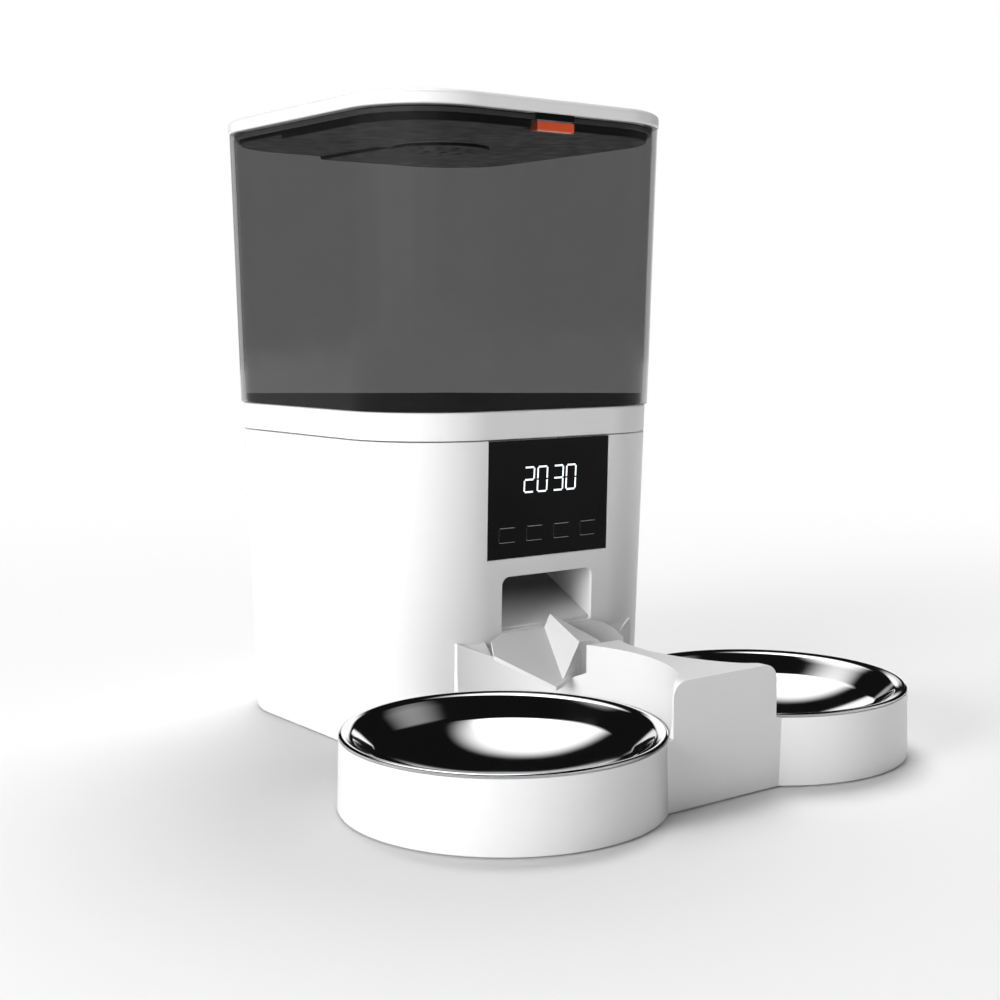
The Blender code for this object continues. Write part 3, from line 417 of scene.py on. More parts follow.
def vary_colour(made, scale, first, second, detail=3.0, stretch=(1, 1, 1)):
    shader = made.node_tree.nodes["Principled BSDF"]
    ramp = made.node_tree.nodes.new("ShaderNodeValToRGB")
    ramp.color_ramp.elements[0].position = 0.35
    ramp.color_ramp.elements[0].color = (*first, 1.0)
    ramp.color_ramp.elements[1].position = 0.65
    ramp.color_ramp.elements[1].color = (*second, 1.0)
    made.node_tree.links.new(object_noise(made, scale, detail, stretch), ramp.inputs["Fac"])
    made.node_tree.links.new(ramp.outputs["Color"], shader.inputs["Base Color"])


def add_grain(made, scale, depth, strength=1.0, detail=2.0, stretch=(1, 1, 1)):
    """A fine surface relief, depth in metres."""
    shader = made.node_tree.nodes["Principled BSDF"]
    bump = made.node_tree.nodes.new("ShaderNodeBump")
    bump.inputs["Strength"].default_value = strength
    bump.inputs["Distance"].default_value = depth
    made.node_tree.links.new(object_noise(made, scale, detail, stretch), bump.inputs["Height"])
    made.node_tree.links.new(bump.outputs["Normal"], shader.inputs["Normal"])


def make_finishes():
    white = plain_material("white_abs", (0.82, 0.82, 0.825), 0.34)
    vary_colour(white, 9.0, (0.812, 0.812, 0.816), (0.828, 0.828, 0.832))
    vary_roughness(white, 60.0, 0.30, 0.38)
    add_grain(white, 1400.0, 0.006 * MM, 0.5)

    grey = plain_material("grey_abs", (0.32, 0.33, 0.34), 0.5)
    vary_colour(grey, 12.0, (0.30, 0.31, 0.32), (0.34, 0.35, 0.36))
    vary_roughness(grey, 90.0, 0.42, 0.58)
    add_grain(grey, 1100.0, 0.02 * MM, 0.6)

    black = plain_material("black_abs", (0.02, 0.02, 0.022), 0.4)
    black.node_tree.nodes["Principled BSDF"].inputs["Specular IOR Level"].default_value = 0.03
    vary_colour(black, 14.0, (0.004, 0.004, 0.004), (0.007, 0.007, 0.0075))
    vary_roughness(black, 110.0, 0.32, 0.5)
    add_grain(black, 1100.0, 0.02 * MM, 0.3)

    gloss = plain_material("black_gloss", (0.006, 0.006, 0.007), 0.16)
    vary_colour(gloss, 25.0, (0.003, 0.003, 0.0035), (0.005, 0.005, 0.0055))
    vary_roughness(gloss, 300.0, 0.12, 0.22)
    gloss.node_tree.nodes["Principled BSDF"].inputs["Specular IOR Level"].default_value = 0.07

    smoked = plain_material("smoked_clear", (0.010, 0.010, 0.0103), 0.1)
    smoked.node_tree.nodes["Principled BSDF"].inputs["Alpha"].default_value = 0.455
    smoked.node_tree.nodes["Principled BSDF"].inputs["Specular IOR Level"].default_value = 0.15
    vary_roughness(smoked, 40.0, 0.06, 0.14)
    add_grain(smoked, 90.0, 0.02 * MM, 0.25, 1.0)

    orange = plain_material("orange_abs", (0.84, 0.12, 0.008), 0.38)
    vary_colour(orange, 30.0, (0.62, 0.062, 0.004), (0.68, 0.075, 0.006))
    vary_roughness(orange, 150.0, 0.32, 0.45)
    add_grain(orange, 1400.0, 0.01 * MM, 0.5)

    mirror = plain_material("polished_stainless", (0.78, 0.78, 0.79), 0.05, 1.0)
    vary_colour(mirror, 18.0, (0.76, 0.76, 0.77), (0.80, 0.80, 0.805))
    vary_roughness(mirror, 55.0, 0.025, 0.075)
    add_grain(mirror, 2500.0, 0.001 * MM, 0.3)

    plated = plain_material("plated_steel", (0.6, 0.6, 0.6), 0.35, 1.0)
    vary_colour(plated, 120.0, (0.54, 0.54, 0.55), (0.66, 0.66, 0.66))
    vary_roughness(plated, 500.0, 0.24, 0.46)
    add_grain(plated, 1800.0, 0.01 * MM, 0.5)

    brass = plain_material("brass", (0.7, 0.5, 0.2), 0.35, 1.0)
    vary_colour(brass, 150.0, (0.66, 0.46, 0.17), (0.74, 0.54, 0.24))
    vary_roughness(brass, 600.0, 0.22, 0.42, (1, 1, 8))
    add_grain(brass, 1500.0, 0.01 * MM, 0.5, stretch=(1, 1, 6))

    nylon = plain_material("nylon", (0.8, 0.78, 0.7), 0.5)
    nylon.node_tree.nodes["Principled BSDF"].inputs["Subsurface Weight"].default_value = 0.1
    vary_colour(nylon, 60.0, (0.77, 0.745, 0.66), (0.82, 0.80, 0.73))
    vary_roughness(nylon, 400.0, 0.42, 0.6)
    add_grain(nylon, 1300.0, 0.012 * MM, 0.5)

    rubber = plain_material("black_rubber", (0.03, 0.03, 0.03), 0.8)
    vary_colour(rubber, 200.0, (0.022, 0.022, 0.022), (0.042, 0.042, 0.042))
    vary_roughness(rubber, 500.0, 0.7, 0.9)
    add_grain(rubber, 2200.0, 0.04 * MM, 0.8)

    silicone = plain_material("grey_silicone", (0.25, 0.25, 0.26), 0.7)
    vary_colour(silicone, 80.0, (0.225, 0.225, 0.235), (0.27, 0.27, 0.28))
    vary_roughness(silicone, 300.0, 0.55, 0.75)
    add_grain(silicone, 1600.0, 0.015 * MM, 0.6)

    board = plain_material("circuit_board", (0.02, 0.14, 0.06), 0.45)
    vary_colour(board, 350.0, (0.012, 0.10, 0.04), (0.03, 0.17, 0.075), 0.0, (1, 1, 6))
    vary_roughness(board, 250.0, 0.32, 0.5)
    add_grain(board, 500.0, 0.02 * MM, 0.5, 0.0, (1, 1, 6))

    sleeve = plain_material("battery_sleeve", (0.12, 0.12, 0.13), 0.35, 0.5)
    vary_colour(sleeve, 30.0, (0.10, 0.10, 0.11), (0.15, 0.15, 0.16))
    vary_roughness(sleeve, 200.0, 0.26, 0.42)
    add_grain(sleeve, 900.0, 0.01 * MM, 0.4)
    finishes = (white, grey, black, gloss, smoked, orange, mirror, plated, brass, nylon, rubber, silicone,
                board, sleeve)
    return {made.name: made for made in finishes}


def make_chute_painted_shade():
    """White at the mouth, with painted shade darkening it deeper in."""
    mouth_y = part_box("chute_duct")[0].y
    made = plain_material("chute_white_painted_shade", (0.8, 0.8, 0.8), 0.4)
    nodes = made.node_tree.nodes
    links = made.node_tree.links
    place = nodes.new("ShaderNodeTexCoord")
    apart = nodes.new("ShaderNodeSeparateXYZ")
    depth = nodes.new("ShaderNodeMapRange")
    depth.interpolation_type = "SMOOTHSTEP"
    depth.inputs["From Min"].default_value = mouth_y
    depth.inputs["From Max"].default_value = mouth_y + CHUTE_SHADE_DEPTH
    ramp = nodes.new("ShaderNodeValToRGB")
    # The painted shade runs from white at the mouth to near black deeper in
    ramp.color_ramp.elements[0].color = (0.80, 0.80, 0.805, 1.0)
    ramp.color_ramp.elements[1].color = (0.035, 0.035, 0.037, 1.0)
    links.new(place.outputs["Object"], apart.inputs[0])
    links.new(apart.outputs["Y"], depth.inputs["Value"])
    links.new(depth.outputs["Result"], ramp.inputs["Fac"])
    links.new(ramp.outputs["Color"], nodes["Principled BSDF"].inputs["Base Color"])
    vary_roughness(made, 60.0, 0.36, 0.46)
    add_grain(made, 1400.0, 0.006 * MM, 0.5)
    return made


def make_digit_light():
    lit = plain_material("digit_light", (0.9, 0.95, 1.0), 0.4)
    shader = lit.node_tree.nodes["Principled BSDF"]
    shader.inputs["Emission Color"].default_value = (0.93, 0.97, 1.0, 1.0)
    vary_roughness(lit, 300.0, 0.35, 0.45)
    glow = ranged(lit, object_noise(lit, 260.0), 0.72, 0.95)
    lit.node_tree.links.new(glow, shader.inputs["Emission Strength"])
    return lit


# ---------------------------------------------------------------- dispensing base

def front_face(height):
    """Y of the dispensing base's front face at a height."""
    return -between(SHELL_FOOT, SHELL_SEAM, height)[2]


def make_body_shell():
    sections = [SHELL_FOOT, SHELL_SEAM, inset(SHELL_SEAM, SHELL_WALL), inset(SHELL_FOOT, SHELL_WALL)]
    shell = loft("body_shell_detailed", sections, tube=True)
    half = MOUTH_HALF_X
    outline = []
    for side, start in ((1, 0), (-1, 90)):
        for step in range(9):
            x, z = polar(MOUTH_CORNER, start + 90 * step / 8)
            outline.append((FRONT_X + side * (half - MOUTH_CORNER) + x, MOUTH_TOP - MOUTH_CORNER + z))
    for side, start in ((-1, 180), (1, 270)):
        for step in range(5):
            x, z = polar(MOUTH_FOOT_CORNER, start + 90 * step / 4)
            outline.append((FRONT_X + side * (half - MOUTH_FOOT_CORNER) + x,
                            MOUTH_BOTTOM + MOUTH_FOOT_CORNER + z))
    combine(shell, slab("mouth_hole", [outline], 0.085, 0.13, FRONT_ON))
    jack_low, jack_high = box_of("dc_jack")
    jack = ((jack_low.x + jack_high.x) / 2, 0.1, (jack_low.z + jack_high.z) / 2)
    lying = Matrix.Rotation(math.radians(90), 4, "X")
    inlet_radius = 4.5 * MM
    inlet = [(0, 0.02), (inlet_radius, 0.02), (inlet_radius, -0.02), (0, -0.02)]
    combine(shell, turned("inlet_hole", inlet, jack, 48, turn=lying))
    round_edges(shell, 0.5 * MM, 3)
    panel_low, panel_high = box_of("display_window")
    combine(shell, block("window_hole", (FRONT_X + panel_low.x - GAP, -0.13, panel_low.z - GAP),
                         (FRONT_X + panel_high.x + GAP, -0.085, 0.2)))
    stand_for(shell, "body_shell")


def make_collar():
    low, high = box_of("collar")
    foot = section_at("collar", low.z)
    top = section_at("collar", high.z)
    ledge = 2.4 * MM
    lip = 16.0 * MM
    wall = 2.8 * MM
    sections = [foot, top, inset(foot, wall, high.z), inset(foot, wall, low.z + ledge),
                inset(foot, lip, low.z + ledge), inset(foot, lip)]
    collar = loft("collar_detailed", sections, tube=True)
    round_edges(collar, 0.6 * MM, 3)
    stand_for(collar, "collar")


def make_display():
    low, high = box_of("display_window")
    height = high.z - low.z
    lean = math.atan2(front_face(low.z) - front_face(high.z), height)
    tilt = Matrix.Translation((FRONT_X, front_face(low.z), low.z)) @ Matrix.Rotation(lean, 4, "X")
    panel = block("display_panel", (low.x, 0, 0), (high.x, 2.2 * MM, height / math.cos(lean)))
    keys = []
    for index in range(1, 5):
        key_low, key_high = box_of(f"key_{index}")
        middle_x = (key_low.x + key_high.x) / 2
        middle_z = ((key_low.z + key_high.z) / 2 - low.z) / math.cos(lean)
        half_x = (key_high.x - key_low.x) / 2
        half_z = 3.65 * MM
        hole = rounded_rectangle(half_x + GAP, half_z + GAP, 1.0 * MM, middle=(middle_x, middle_z))
        combine(panel, slab(f"key_hole_{index}", [hole], -5 * MM, 5 * MM, FRONT_ON))
        cap = rounded_rectangle(half_x, half_z, 0.8 * MM, middle=(middle_x, middle_z))
        keys.append(slab(f"key_{index}_detailed", [cap], -5.2 * MM, 0.18 * MM, FRONT_ON))
    round_edges(panel, 0.3 * MM, 3)
    panel.name = "display_window_detailed"
    for item in (panel, *keys):
        item.data.transform(tilt)
    stand_for(panel, "display_window")
    for index, key in enumerate(keys):
        round_edges(key, 0.25 * MM, 3)
        stand_for(key, f"key_{index + 1}")
    make_digits(tilt, low.z)


def make_digits(tilt, panel_low):
    """Seven-segment digits just under the panel's surface, reading 20 30."""
    width = 7.2 * MM
    height = 13.9 * MM
    stroke = 0.9 * MM
    middle = 143.65 * MM - panel_low
    slant = math.tan(math.radians(2))
    left, right = -(width - stroke) / 2, (width - stroke) / 2
    low, high = -(height - stroke) / 2, (height - stroke) / 2
    ends = {"a": ((left, high), (right, high)), "b": ((right, high), (right, 0)),
            "c": ((right, 0), (right, low)), "d": ((left, low), (right, low)), "e": ((left, 0), (left, low)),
            "f": ((left, high), (left, 0)), "g": ((left, 0), (right, 0))}
    for place, (character, centre) in enumerate(zip("2030", DIGIT_PLACES)):
        bm = bmesh.new()
        for segment in SEGMENTS[character]:
            start, end = (Vector(point) for point in ends[segment])
            along = (end - start).normalized()
            across = Vector((-along.y, along.x)) * stroke / 2
            tip = along * 0.36 * MM
            shoulder = along * stroke / 2
            points = (start + tip, start + shoulder + across, end - shoulder + across, end - tip,
                      end - shoulder - across, start + shoulder - across)
            corners = [bm.verts.new((x + centre * MM + slant * z, -0.06 * MM, z + middle)) for x, z in points]
            bm.faces.new(corners)
        bmesh.ops.recalc_face_normals(bm, faces=bm.faces)
        thick = bmesh.ops.extrude_face_region(bm, geom=list(bm.faces))
        moved = [item for item in thick["geom"] if isinstance(item, bmesh.types.BMVert)]
        bmesh.ops.translate(bm, vec=(0, 0.05 * MM, 0), verts=moved)
        digit = new_piece(f"clock_digit_{place + 1}", mesh_from(bm, "clock_digit"))
        digit.data.transform(tilt)
        digit.data.materials.append(DIGIT_LIGHT)
        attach(digit, "base")


# ---------------------------------------------------------------- hopper and lid

def make_hopper():
    low, high = box_of("hopper")
    foot = section_at("hopper", low.z)
    top = section_at("hopper", high.z)
    sections = [foot, top, inset(top, HOPPER_WALL), inset(foot, HOPPER_WALL)]
    hopper = loft("hopper_detailed", sections, tube=True)
    notch = block("latch_notch", (-LATCH_ROOM_HALF_X, -0.12, 323.0 * MM), (LATCH_ROOM_HALF_X, -0.09, 0.34))
    combine(hopper, notch)
    round_edges(hopper, 0.5 * MM, 3)
    stand_for(hopper, "hopper")


def make_funnel():
    """The dark funnel under the hopper, whose rim stands highest at the corner beside the left bowl."""
    rotor_y = sum(box[1] for box in box_of("rotor")) / 2
    spout_y = rotor_y / MM
    rim_height = 185.3 * MM
    rim_slope = 0.042
    rows = [(189.8, 92.1, 99.7, 48.5, 0), (180.8, 91.9, 99.5, 48.5, 0), (180.8, 90.9, 98.5, 49.0, 0),
            (175.0, 90.6, 98.2, 49.0, 0), (153.0, 48, 48, 48, spout_y), (150.2, 48, 48, 48, spout_y),
            (150.2, 46, 46, 46, spout_y), (153.8, 46, 46, 46, spout_y), (176.6, 88.7, 96.3, 47, 0),
            (189.8, 90.3, 97.9, 46.7, 0)]
    funnel = loft("hopper_funnel_detailed", [tuple(value * MM for value in row) for row in rows], tube=True)
    for vert in funnel.data.vertices:
        if vert.co.z > 185 * MM:
            vert.co.z = rim_height - rim_slope * (0.6 * vert.co.x + 0.8 * vert.co.y)
    round_edges(funnel, 0.4 * MM, 2)
    stand_for(funnel, "hopper_funnel")


def make_lid_plug():
    """The dark underside of the lid, with a shallower step at its back left."""
    sections = [(325.0, 91.4, 99.2, 43), (332.3, 92.6, 100.4, 43)]
    plug = loft("lid_plug_detailed", [tuple(value * MM for value in row) for row in sections])
    combine(plug, block("plug_step", (-0.12, 0.02, 0.32), (-20 * MM, 0.12, 327 * MM)))
    cup_radius = 26.2 * MM
    combine(plug, turned("cup_hole", [(0, 0.34), (cup_radius, 0.34), (cup_radius, 0.32), (0, 0.32)]))
    pocket = block("latch_pocket", (-LATCH_ROOM_HALF_X, -0.11, 0.32),
                   (LATCH_ROOM_HALF_X, -93 * MM, 328.6 * MM))
    combine(plug, pocket)
    round_edges(plug, 0.7 * MM, 3)
    tab = block("catch_tab", (-CATCH_HALF_X, -104.4 * MM, 328.8 * MM), (CATCH_HALF_X, -99.0 * MM, 332.2 * MM))
    combine(plug, tab, "UNION")
    stand_for(plug, "lid_plug")


def make_lid():
    low, high = box_of("lid_cover")
    rim = section_at("lid_cover", low.z)
    edge = 3.0 * MM
    sections = [inset(rim, 2.6 * MM, high.z - 2.6 * MM), inset(rim, 2.6 * MM), inset(rim, 0.5 * MM),
                inset(rim, 0.0, low.z + 0.5 * MM)]
    for step in range(13):
        drop, rise = polar(edge, 90 * step / 12)
        sections.append(inset(rim, 1.6 * (edge - drop), high.z - edge + rise))
    cover = loft("lid_cover_detailed", sections)
    stand_for(cover, "lid_cover")
    latch_low, latch_high = box_of("lid_latch")
    latch = block("lid_latch_detailed", latch_low, latch_high)
    round_edges(latch, 0.6 * MM, 3)
    stand_for(latch, "lid_latch")


# ---------------------------------------------------------------- bowl stand, bowls and splitter

def chute_floor(y):
    return MOUTH_BOTTOM + CHUTE_SLOPE * (y - MOUTH_Y)


def bowl_clearance(name, side):
    """What the bowl and its rim take out of the bridge: flared above the cup, then straight up."""
    centre = (side * BOWL_X, BOWL_Y)
    upper = (side * (BOWL_X - 0.8 * MM), BOWL_Y - 2.0 * MM)
    points = []
    for middle, radius, height in ((centre, CUP_TOP_RADIUS - 0.3 * MM, CUP_TOP - 0.4 * MM),
                                   (centre, CUP_TOP_RADIUS + 0.5 * MM, 36.2 * MM),
                                   (upper, BRIDGE_CLEARANCE_RADIUS, BRIDGE_FLARE_TOP),
                                   (upper, BRIDGE_CLEARANCE_RADIUS, 0.09)):
        for x, y in circle_outline(radius, ROUND_STEPS, middle):
            forward = (middle[1] - y) / radius
            shrunk = 1.0 if height < 37 * MM else 1.0 - 0.042 * min(1.0, max(0.0, (forward - 0.6) / 0.13))
            across = (x - middle[0]) * shrunk
            along = (y - middle[1]) * shrunk
            points.append((middle[0] + across, middle[1] + along, height))
    return hull_of(name, points)


def cup_of(name, side):
    """The round cup that the bowl hangs in."""
    profile = [(0, CUP_FLOOR), (CUP_WELL_RADIUS, CUP_FLOOR), (CUP_WELL_RADIUS, CUP_TOP),
               (CUP_TOP_RADIUS, CUP_TOP), (CUP_BASE_RADIUS, STAND_BOTTOM), (0, STAND_BOTTOM)]
    return turned(name, profile, (side * BOWL_X, BOWL_Y, 0))


def bridge_front_outline():
    """The bridge seen from the front, with its two rounded top corners."""
    half = 34.2 * MM
    foot = 38.0 * MM
    radius = 8 * MM
    outline = [(-foot, STAND_BOTTOM), (foot, STAND_BOTTOM), (foot, CUP_TOP), (half, CUP_TOP + 1 * MM)]
    for side, start in ((1, 0), (-1, 90)):
        for step in range(11):
            x, z = polar(radius, start + 9 * step)
            outline.append((side * (half - radius) + x, BRIDGE_TOP - radius + z))
    return outline + [(-half, CUP_TOP + 1 * MM), (-foot, CUP_TOP)]


def cradle_outline():
    """Side view (y, z) of the sloping cradle that the splitter rests in, open above."""
    def plane(y):
        return chute_floor(y) - CRADLE_DROP
    front_low = -132.8 * MM
    front_top = -143.8 * MM
    return [(-80 * MM, plane(-80 * MM)), (-80 * MM, 0.1), (front_top, 0.1), (front_top, 47.5 * MM),
            (front_low, 42.6 * MM), (front_low, plane(front_low))]


def wing_top_cut(name, side):
    """What is cut off a wing's top, which falls steeply from the base's front face to the wing's front."""
    rear = ((61.5, -94.0), (51.5, -97.0), (46.0, -98.2), (40.9, -98.6))
    front = ((61.5, -97.4, 62.0), (51.5, -101.2, 57.6), (46.0, -104.4, 54.9), (40.9, -107.3, 52.8))
    points = []
    for (x, y), (front_x, front_y, front_z) in zip(rear, front):
        points += [(x, y, BRIDGE_TOP / MM), (x, y, 90), (front_x, front_y, front_z)]
        points += [(front_x, front_y - 12, front_z), (front_x, front_y - 12, 90)]
    return hull_of(name, [(side * x * MM, y * MM, z * MM) for x, y, z in points])


def round_bridge(stand):
    """Rounds the bridge's front and top edges wider than the rest."""
    bm = bmesh.new()
    bm.from_mesh(stand.data)
    chosen = []
    for edge in bm.edges:
        ends = [vert.co for vert in edge.verts]
        on_front = all(abs(end.y - BRIDGE_FRONT) < 0.05 * MM and end.z > 3 * MM for end in ends)
        on_top = all(abs(end.z - BRIDGE_TOP) < 0.05 * MM and end.y < BRIDGE_ROUND_BACK for end in ends)
        if (on_front or on_top) and edge.calc_face_angle(0.0) > math.radians(30):
            chosen.append(edge)
    bmesh.ops.bevel(bm, geom=chosen, offset=1.3 * MM, offset_type="OFFSET", segments=3, profile=0.5,
                    affect="EDGES", clamp_overlap=True)
    bm.to_mesh(stand.data)
    bm.free()


def make_bowl_stand():
    middle = -165 * MM
    stand = slab("bowl_stand_detailed", [bridge_front_outline()], -middle, -BRIDGE_FRONT, FRONT_ON)
    rear = block("stand_wings", (-WING_HALF_X, middle - 1 * MM, STAND_BOTTOM),
                 (WING_HALF_X, -60 * MM, BRIDGE_TOP))
    combine(stand, rear, "UNION")
    room = -0.35 * MM
    body = [inset(SHELL_FOOT, room, -5 * MM), inset(between(SHELL_FOOT, SHELL_SEAM, 90 * MM), room)]
    combine(stand, loft("body_room", body))
    combine(stand, slab("cradle", [cradle_outline()], -CRADLE_HALF_X, CRADLE_HALF_X, SIDE_ON))
    for side in (-1, 1):
        combine(stand, wing_top_cut("wing_top", side))
    core = [(0, -1 * MM), (CUP_WELL_RADIUS + 1 * MM, -1 * MM), (CUP_WELL_RADIUS + 1 * MM, CUP_TOP + 1 * MM),
            (0, CUP_TOP + 1 * MM)]
    for side in (-1, 1):
        combine(stand, bowl_clearance("bowl_room", side))
        combine(stand, turned("cup_core", core, (side * BOWL_X, BOWL_Y, 0)))
    for side in (-1, 1):
        combine(stand, cup_of("cup", side), "UNION")
    clean_seams(stand)
    round_bridge(stand)
    round_edges(stand, 0.5 * MM, 2, 30.0)
    stand_for(stand, "bowl_stand")


def bowl_profile():
    """Down the inside of the bowl from the middle of its floor, over the rim, and back under it."""
    dish = [(radius, 11.0 + 15.5 * (radius / 62) ** 2.2) for radius in range(0, 61, 2)]
    wall = [(61.0, 26.0), (62.0, 26.9), (65.0, 29.6), (68.0, 32.4), (70.6, 34.8), (71.6, 35.5), (73.0, 35.9)]
    rim = [(74.4, 36.2), (75.6, 36.5), (76.4, 36.3), (76.9, 35.8), (76.6, 35.25)]
    under = [(73.9, 35.25), (73.4, 34.4), (71.0, 31.0), (64.0, 24.4), (50.0, 17.4), (30.0, 12.6), (0, 10.3)]
    return [(radius * MM, height * MM) for radius, height in dish + wall + rim + under]


def make_bowls():
    for name, side in (("bowl_left", -1), ("bowl_right", 1)):
        bowl = turned(f"{name}_detailed", bowl_profile(), (side * BOWL_X, BOWL_Y, 0), 192)
        stand_for(bowl, name)


def divider_hulls(back):
    """The roof-shaped divider as three convex bodies: an upright prow, and a flank down to each tray."""
    apex = (0, back, 70.6)
    prow = [apex]
    flanks = []
    for side in (-1, 1):
        ridge_end = (side * 6, -132.3, 61.1)
        prow_foot = (side * 6.8, -132.2, 41.2)
        root = (side * 3.4, back, 61.0)
        prow += [ridge_end, prow_foot, root]
        flanks.append([apex, ridge_end, prow_foot, root, (0, back, 61.0), (side * 22.5, -139.0, 44.4),
                       (side * 4, back, 63.2)])
    return [prow, *flanks]


def make_splitter():
    """A sloping two-way tray, narrower on its right, with a roof-shaped divider and two skirts below."""
    drop = 2.2 * MM
    back = front_face(MOUTH_BOTTOM) - 0.8 * MM
    outer = [(-42.6, -104.9), (-48.7, -115.4), (-29.8, -142.7), (-23.5, -140.6), (-6.8, -132.2),
             (6.8, -132.2), (21.5, -138.8), (31.3, -124.3), (38.2, -116.8), (38.8, -109.0), (35.3, -103.1)]
    plan = [(-32 * MM, back), *((x * MM, y * MM) for x, y in outer), (31.5 * MM, back)]
    bm = bmesh.new()
    top = bm.faces.new([bm.verts.new((x, y, chute_floor(y))) for x, y in plan])
    grown = bmesh.ops.extrude_face_region(bm, geom=[top])
    lowered = [item for item in grown["geom"] if isinstance(item, bmesh.types.BMVert)]
    bmesh.ops.translate(bm, vec=(0, 0, -drop), verts=lowered)
    tray = new_piece("splitter_detailed", mesh_from(bm, "splitter"))
    for index, points in enumerate(divider_hulls(back / MM)):
        hull = hull_of(f"divider_{index}", [(x * MM, y * MM, z * MM) for x, y, z in points])
        combine(tray, hull, "UNION")
    skirt_back = -101.5 * MM
    skirt_front = -132 * MM
    for side in (-1, 1):
        foot = [(skirt_back, chute_floor(skirt_back) - 1 * MM),
                (skirt_front, chute_floor(skirt_front) - 1 * MM),
                (skirt_front, chute_floor(skirt_front) - CRADLE_DROP + GAP),
                (skirt_back, chute_floor(skirt_back) - CRADLE_DROP + GAP)]
        low, high = sorted((side * 12 * MM, side * 14 * MM))
        combine(tray, slab("foot", [foot], low, high, SIDE_ON), "UNION")
    clean_seams(tray)
    round_edges(tray, 0.9 * MM, 3, 30.0)
    stand_for(tray, "splitter")


# ---------------------------------------------------------------- stage

def glow_from(nodes, links, direction, start, end):
    """How much of a softbox shows in a direction: 0 away from it, 1 inside it."""
    place = nodes.new("ShaderNodeTexCoord")
    dot = nodes.new("ShaderNodeVectorMath")
    dot.operation = "DOT_PRODUCT"
    dot.inputs[1].default_value = Vector(direction).normalized()
    soft = nodes.new("ShaderNodeMapRange")
    soft.interpolation_type = "SMOOTHSTEP"
    soft.inputs["From Min"].default_value = start
    soft.inputs["From Max"].default_value = end
    links.new(place.outputs["Generated"], dot.inputs[0])
    links.new(dot.outputs["Value"], soft.inputs["Value"])
    return soft.outputs["Result"]


def make_world():
    """White behind the object, even light around it, and a dark studio with softboxes in what it mirrors."""
    world = bpy.data.worlds.new("studio")
    world.use_nodes = True
    bpy.context.scene.world = world
    nodes = world.node_tree.nodes
    links = world.node_tree.links
    nodes.clear()
    path = nodes.new("ShaderNodeLightPath")
    output = nodes.new("ShaderNodeOutputWorld")
    seen = nodes.new("ShaderNodeBackground")
    seen.inputs["Color"].default_value = (1, 1, 1, 1)
    seen.inputs["Strength"].default_value = 1.0
    even = nodes.new("ShaderNodeBackground")
    even.inputs["Color"].default_value = (1, 1, 1, 1)
    even.inputs["Strength"].default_value = EVEN_LIGHT
    mirrored = nodes.new("ShaderNodeBackground")
    total = None
    for direction, start, end, strength in SOFTBOXES:
        scaled = nodes.new("ShaderNodeMath")
        scaled.operation = "MULTIPLY"
        scaled.inputs[1].default_value = strength
        links.new(glow_from(nodes, links, direction, start, end), scaled.inputs[0])
        if total is None:
            total = scaled.outputs[0]
        else:
            added = nodes.new("ShaderNodeMath")
            links.new(total, added.inputs[0])
            links.new(scaled.outputs[0], added.inputs[1])
            total = added.outputs[0]
    floor_level = nodes.new("ShaderNodeMath")
    floor_level.inputs[1].default_value = MIRRORED_BASE
    links.new(total, floor_level.inputs[0])
    links.new(floor_level.outputs[0], mirrored.inputs["Strength"])
    glossy = nodes.new("ShaderNodeMixShader")
    links.new(path.outputs["Is Glossy Ray"], glossy.inputs["Fac"])
    links.new(even.outputs[0], glossy.inputs[1])
    links.new(mirrored.outputs[0], glossy.inputs[2])
    camera = nodes.new("ShaderNodeMixShader")
    links.new(path.outputs["Is Camera Ray"], camera.inputs["Fac"])
    links.new(glossy.outputs[0], camera.inputs[1])
    links.new(seen.outputs[0], camera.inputs[2])
    links.new(camera.outputs[0], output.inputs["Surface"])


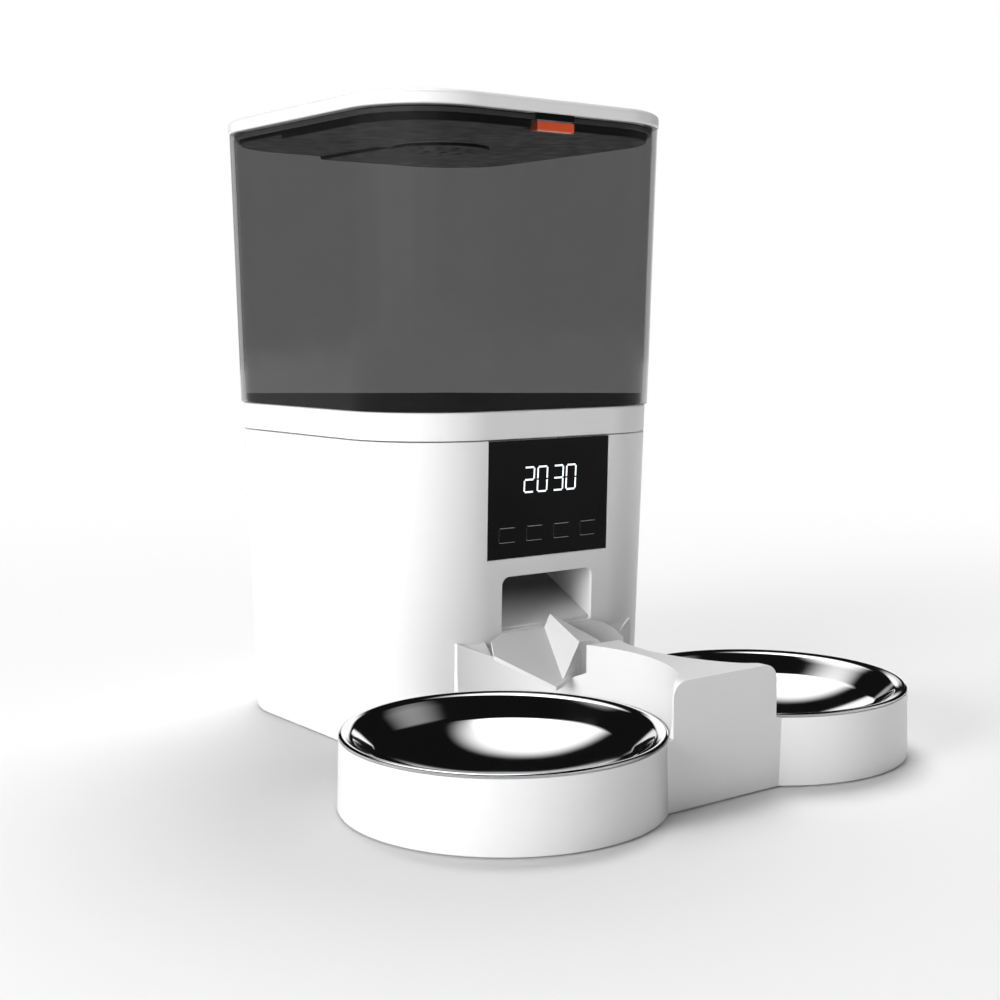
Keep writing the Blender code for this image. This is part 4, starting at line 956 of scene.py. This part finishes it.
def make_floor():
    """A pale floor that fades to white away from the object."""
    bm = bmesh.new()
    bmesh.ops.create_grid(bm, x_segments=8, y_segments=8, size=FLOOR_HALF_SIZE)
    mesh = bpy.data.meshes.new("floor")
    bm.to_mesh(mesh)
    bm.free()
    floor = bpy.data.objects.new("floor", mesh)
    bpy.context.scene.collection.objects.link(floor)
    made = plain_material("pale_floor", (0.78, 0.78, 0.78), 0.9)
    nodes = made.node_tree.nodes
    links = made.node_tree.links
    shader = nodes["Principled BSDF"]
    shader.inputs["Specular IOR Level"].default_value = 0.1
    vary_roughness(made, 4.0, 0.85, 0.95)
    place = nodes.new("ShaderNodeTexCoord")
    length = nodes.new("ShaderNodeVectorMath")
    length.operation = "LENGTH"
    links.new(place.outputs["Object"], length.inputs[0])
    fade = nodes.new("ShaderNodeMapRange")
    fade.interpolation_type = "SMOOTHSTEP"
    fade.inputs["From Min"].default_value = FLOOR_FADE_START
    fade.inputs["From Max"].default_value = FLOOR_FADE_END
    links.new(length.outputs["Value"], fade.inputs["Value"])
    white = nodes.new("ShaderNodeEmission")
    white.inputs["Strength"].default_value = 1.0
    mix = nodes.new("ShaderNodeMixShader")
    links.new(fade.outputs["Result"], mix.inputs["Fac"])
    links.new(shader.outputs[0], mix.inputs[1])
    links.new(white.outputs[0], mix.inputs[2])
    links.new(mix.outputs[0], nodes["Material Output"].inputs["Surface"])
    mesh.materials.append(made)


def make_light(name, place, target, size, power):
    lamp = bpy.data.lights.new(name, "AREA")
    lamp.shape = "DISK"
    lamp.size = size
    lamp.energy = power
    light = bpy.data.objects.new(name, lamp)
    light.location = place
    light.rotation_mode = "QUATERNION"
    light.rotation_quaternion = (Vector(target) - Vector(place)).to_track_quat("-Z", "Y")
    light.visible_camera = False
    light.visible_glossy = False
    bpy.context.scene.collection.objects.link(light)


def make_camera():
    data = bpy.data.cameras.new("camera")
    data.lens = CAMERA_LENS
    data.sensor_width = SENSOR
    data.clip_start = 0.01
    data.clip_end = 50.0
    camera = bpy.data.objects.new("camera", data)
    camera.location = CAMERA_PLACE
    camera.rotation_mode = "QUATERNION"
    camera.rotation_quaternion = Vector(CAMERA_FORWARD).to_track_quat("-Z", "Y")
    bpy.context.scene.collection.objects.link(camera)
    bpy.context.scene.camera = camera


FINISH = make_finishes()
DIGIT_LIGHT = make_digit_light()
SHELL_FOOT = section_at("body_shell", SHELL_LOW.z)
SHELL_SEAM = section_at("body_shell", SHELL_HIGH.z)

make_camera()
make_body_shell()
make_collar()
make_display()
make_hopper()
make_lid()
make_lid_plug()
make_funnel()
make_bowl_stand()
make_bowls()
make_splitter()

for name, node in NODES.items():
    node.data.materials.clear()
    node.data.materials.append(FINISH[SLOT_OF[name]])

# The chute's inside is white with painted shade deeper in
NODES["chute_duct"].data.materials[0] = make_chute_painted_shade()

# The bowls mirror the studio, and not the white body beside them
for item in bpy.data.objects:
    if item.type == "MESH" and not item.name.endswith(("left_detailed", "right_detailed")):
        item.visible_glossy = False

make_world()
make_floor()
make_light("key", (-2.0, -0.36, 0.55), (0, 0, 0.12), 1.0, 37.5)
make_light("top", (1.2, 1.5, 3.45), (0, 0, 0.05), 2.4, 136.0)
bpy.context.scene.view_settings.view_transform = "Standard"
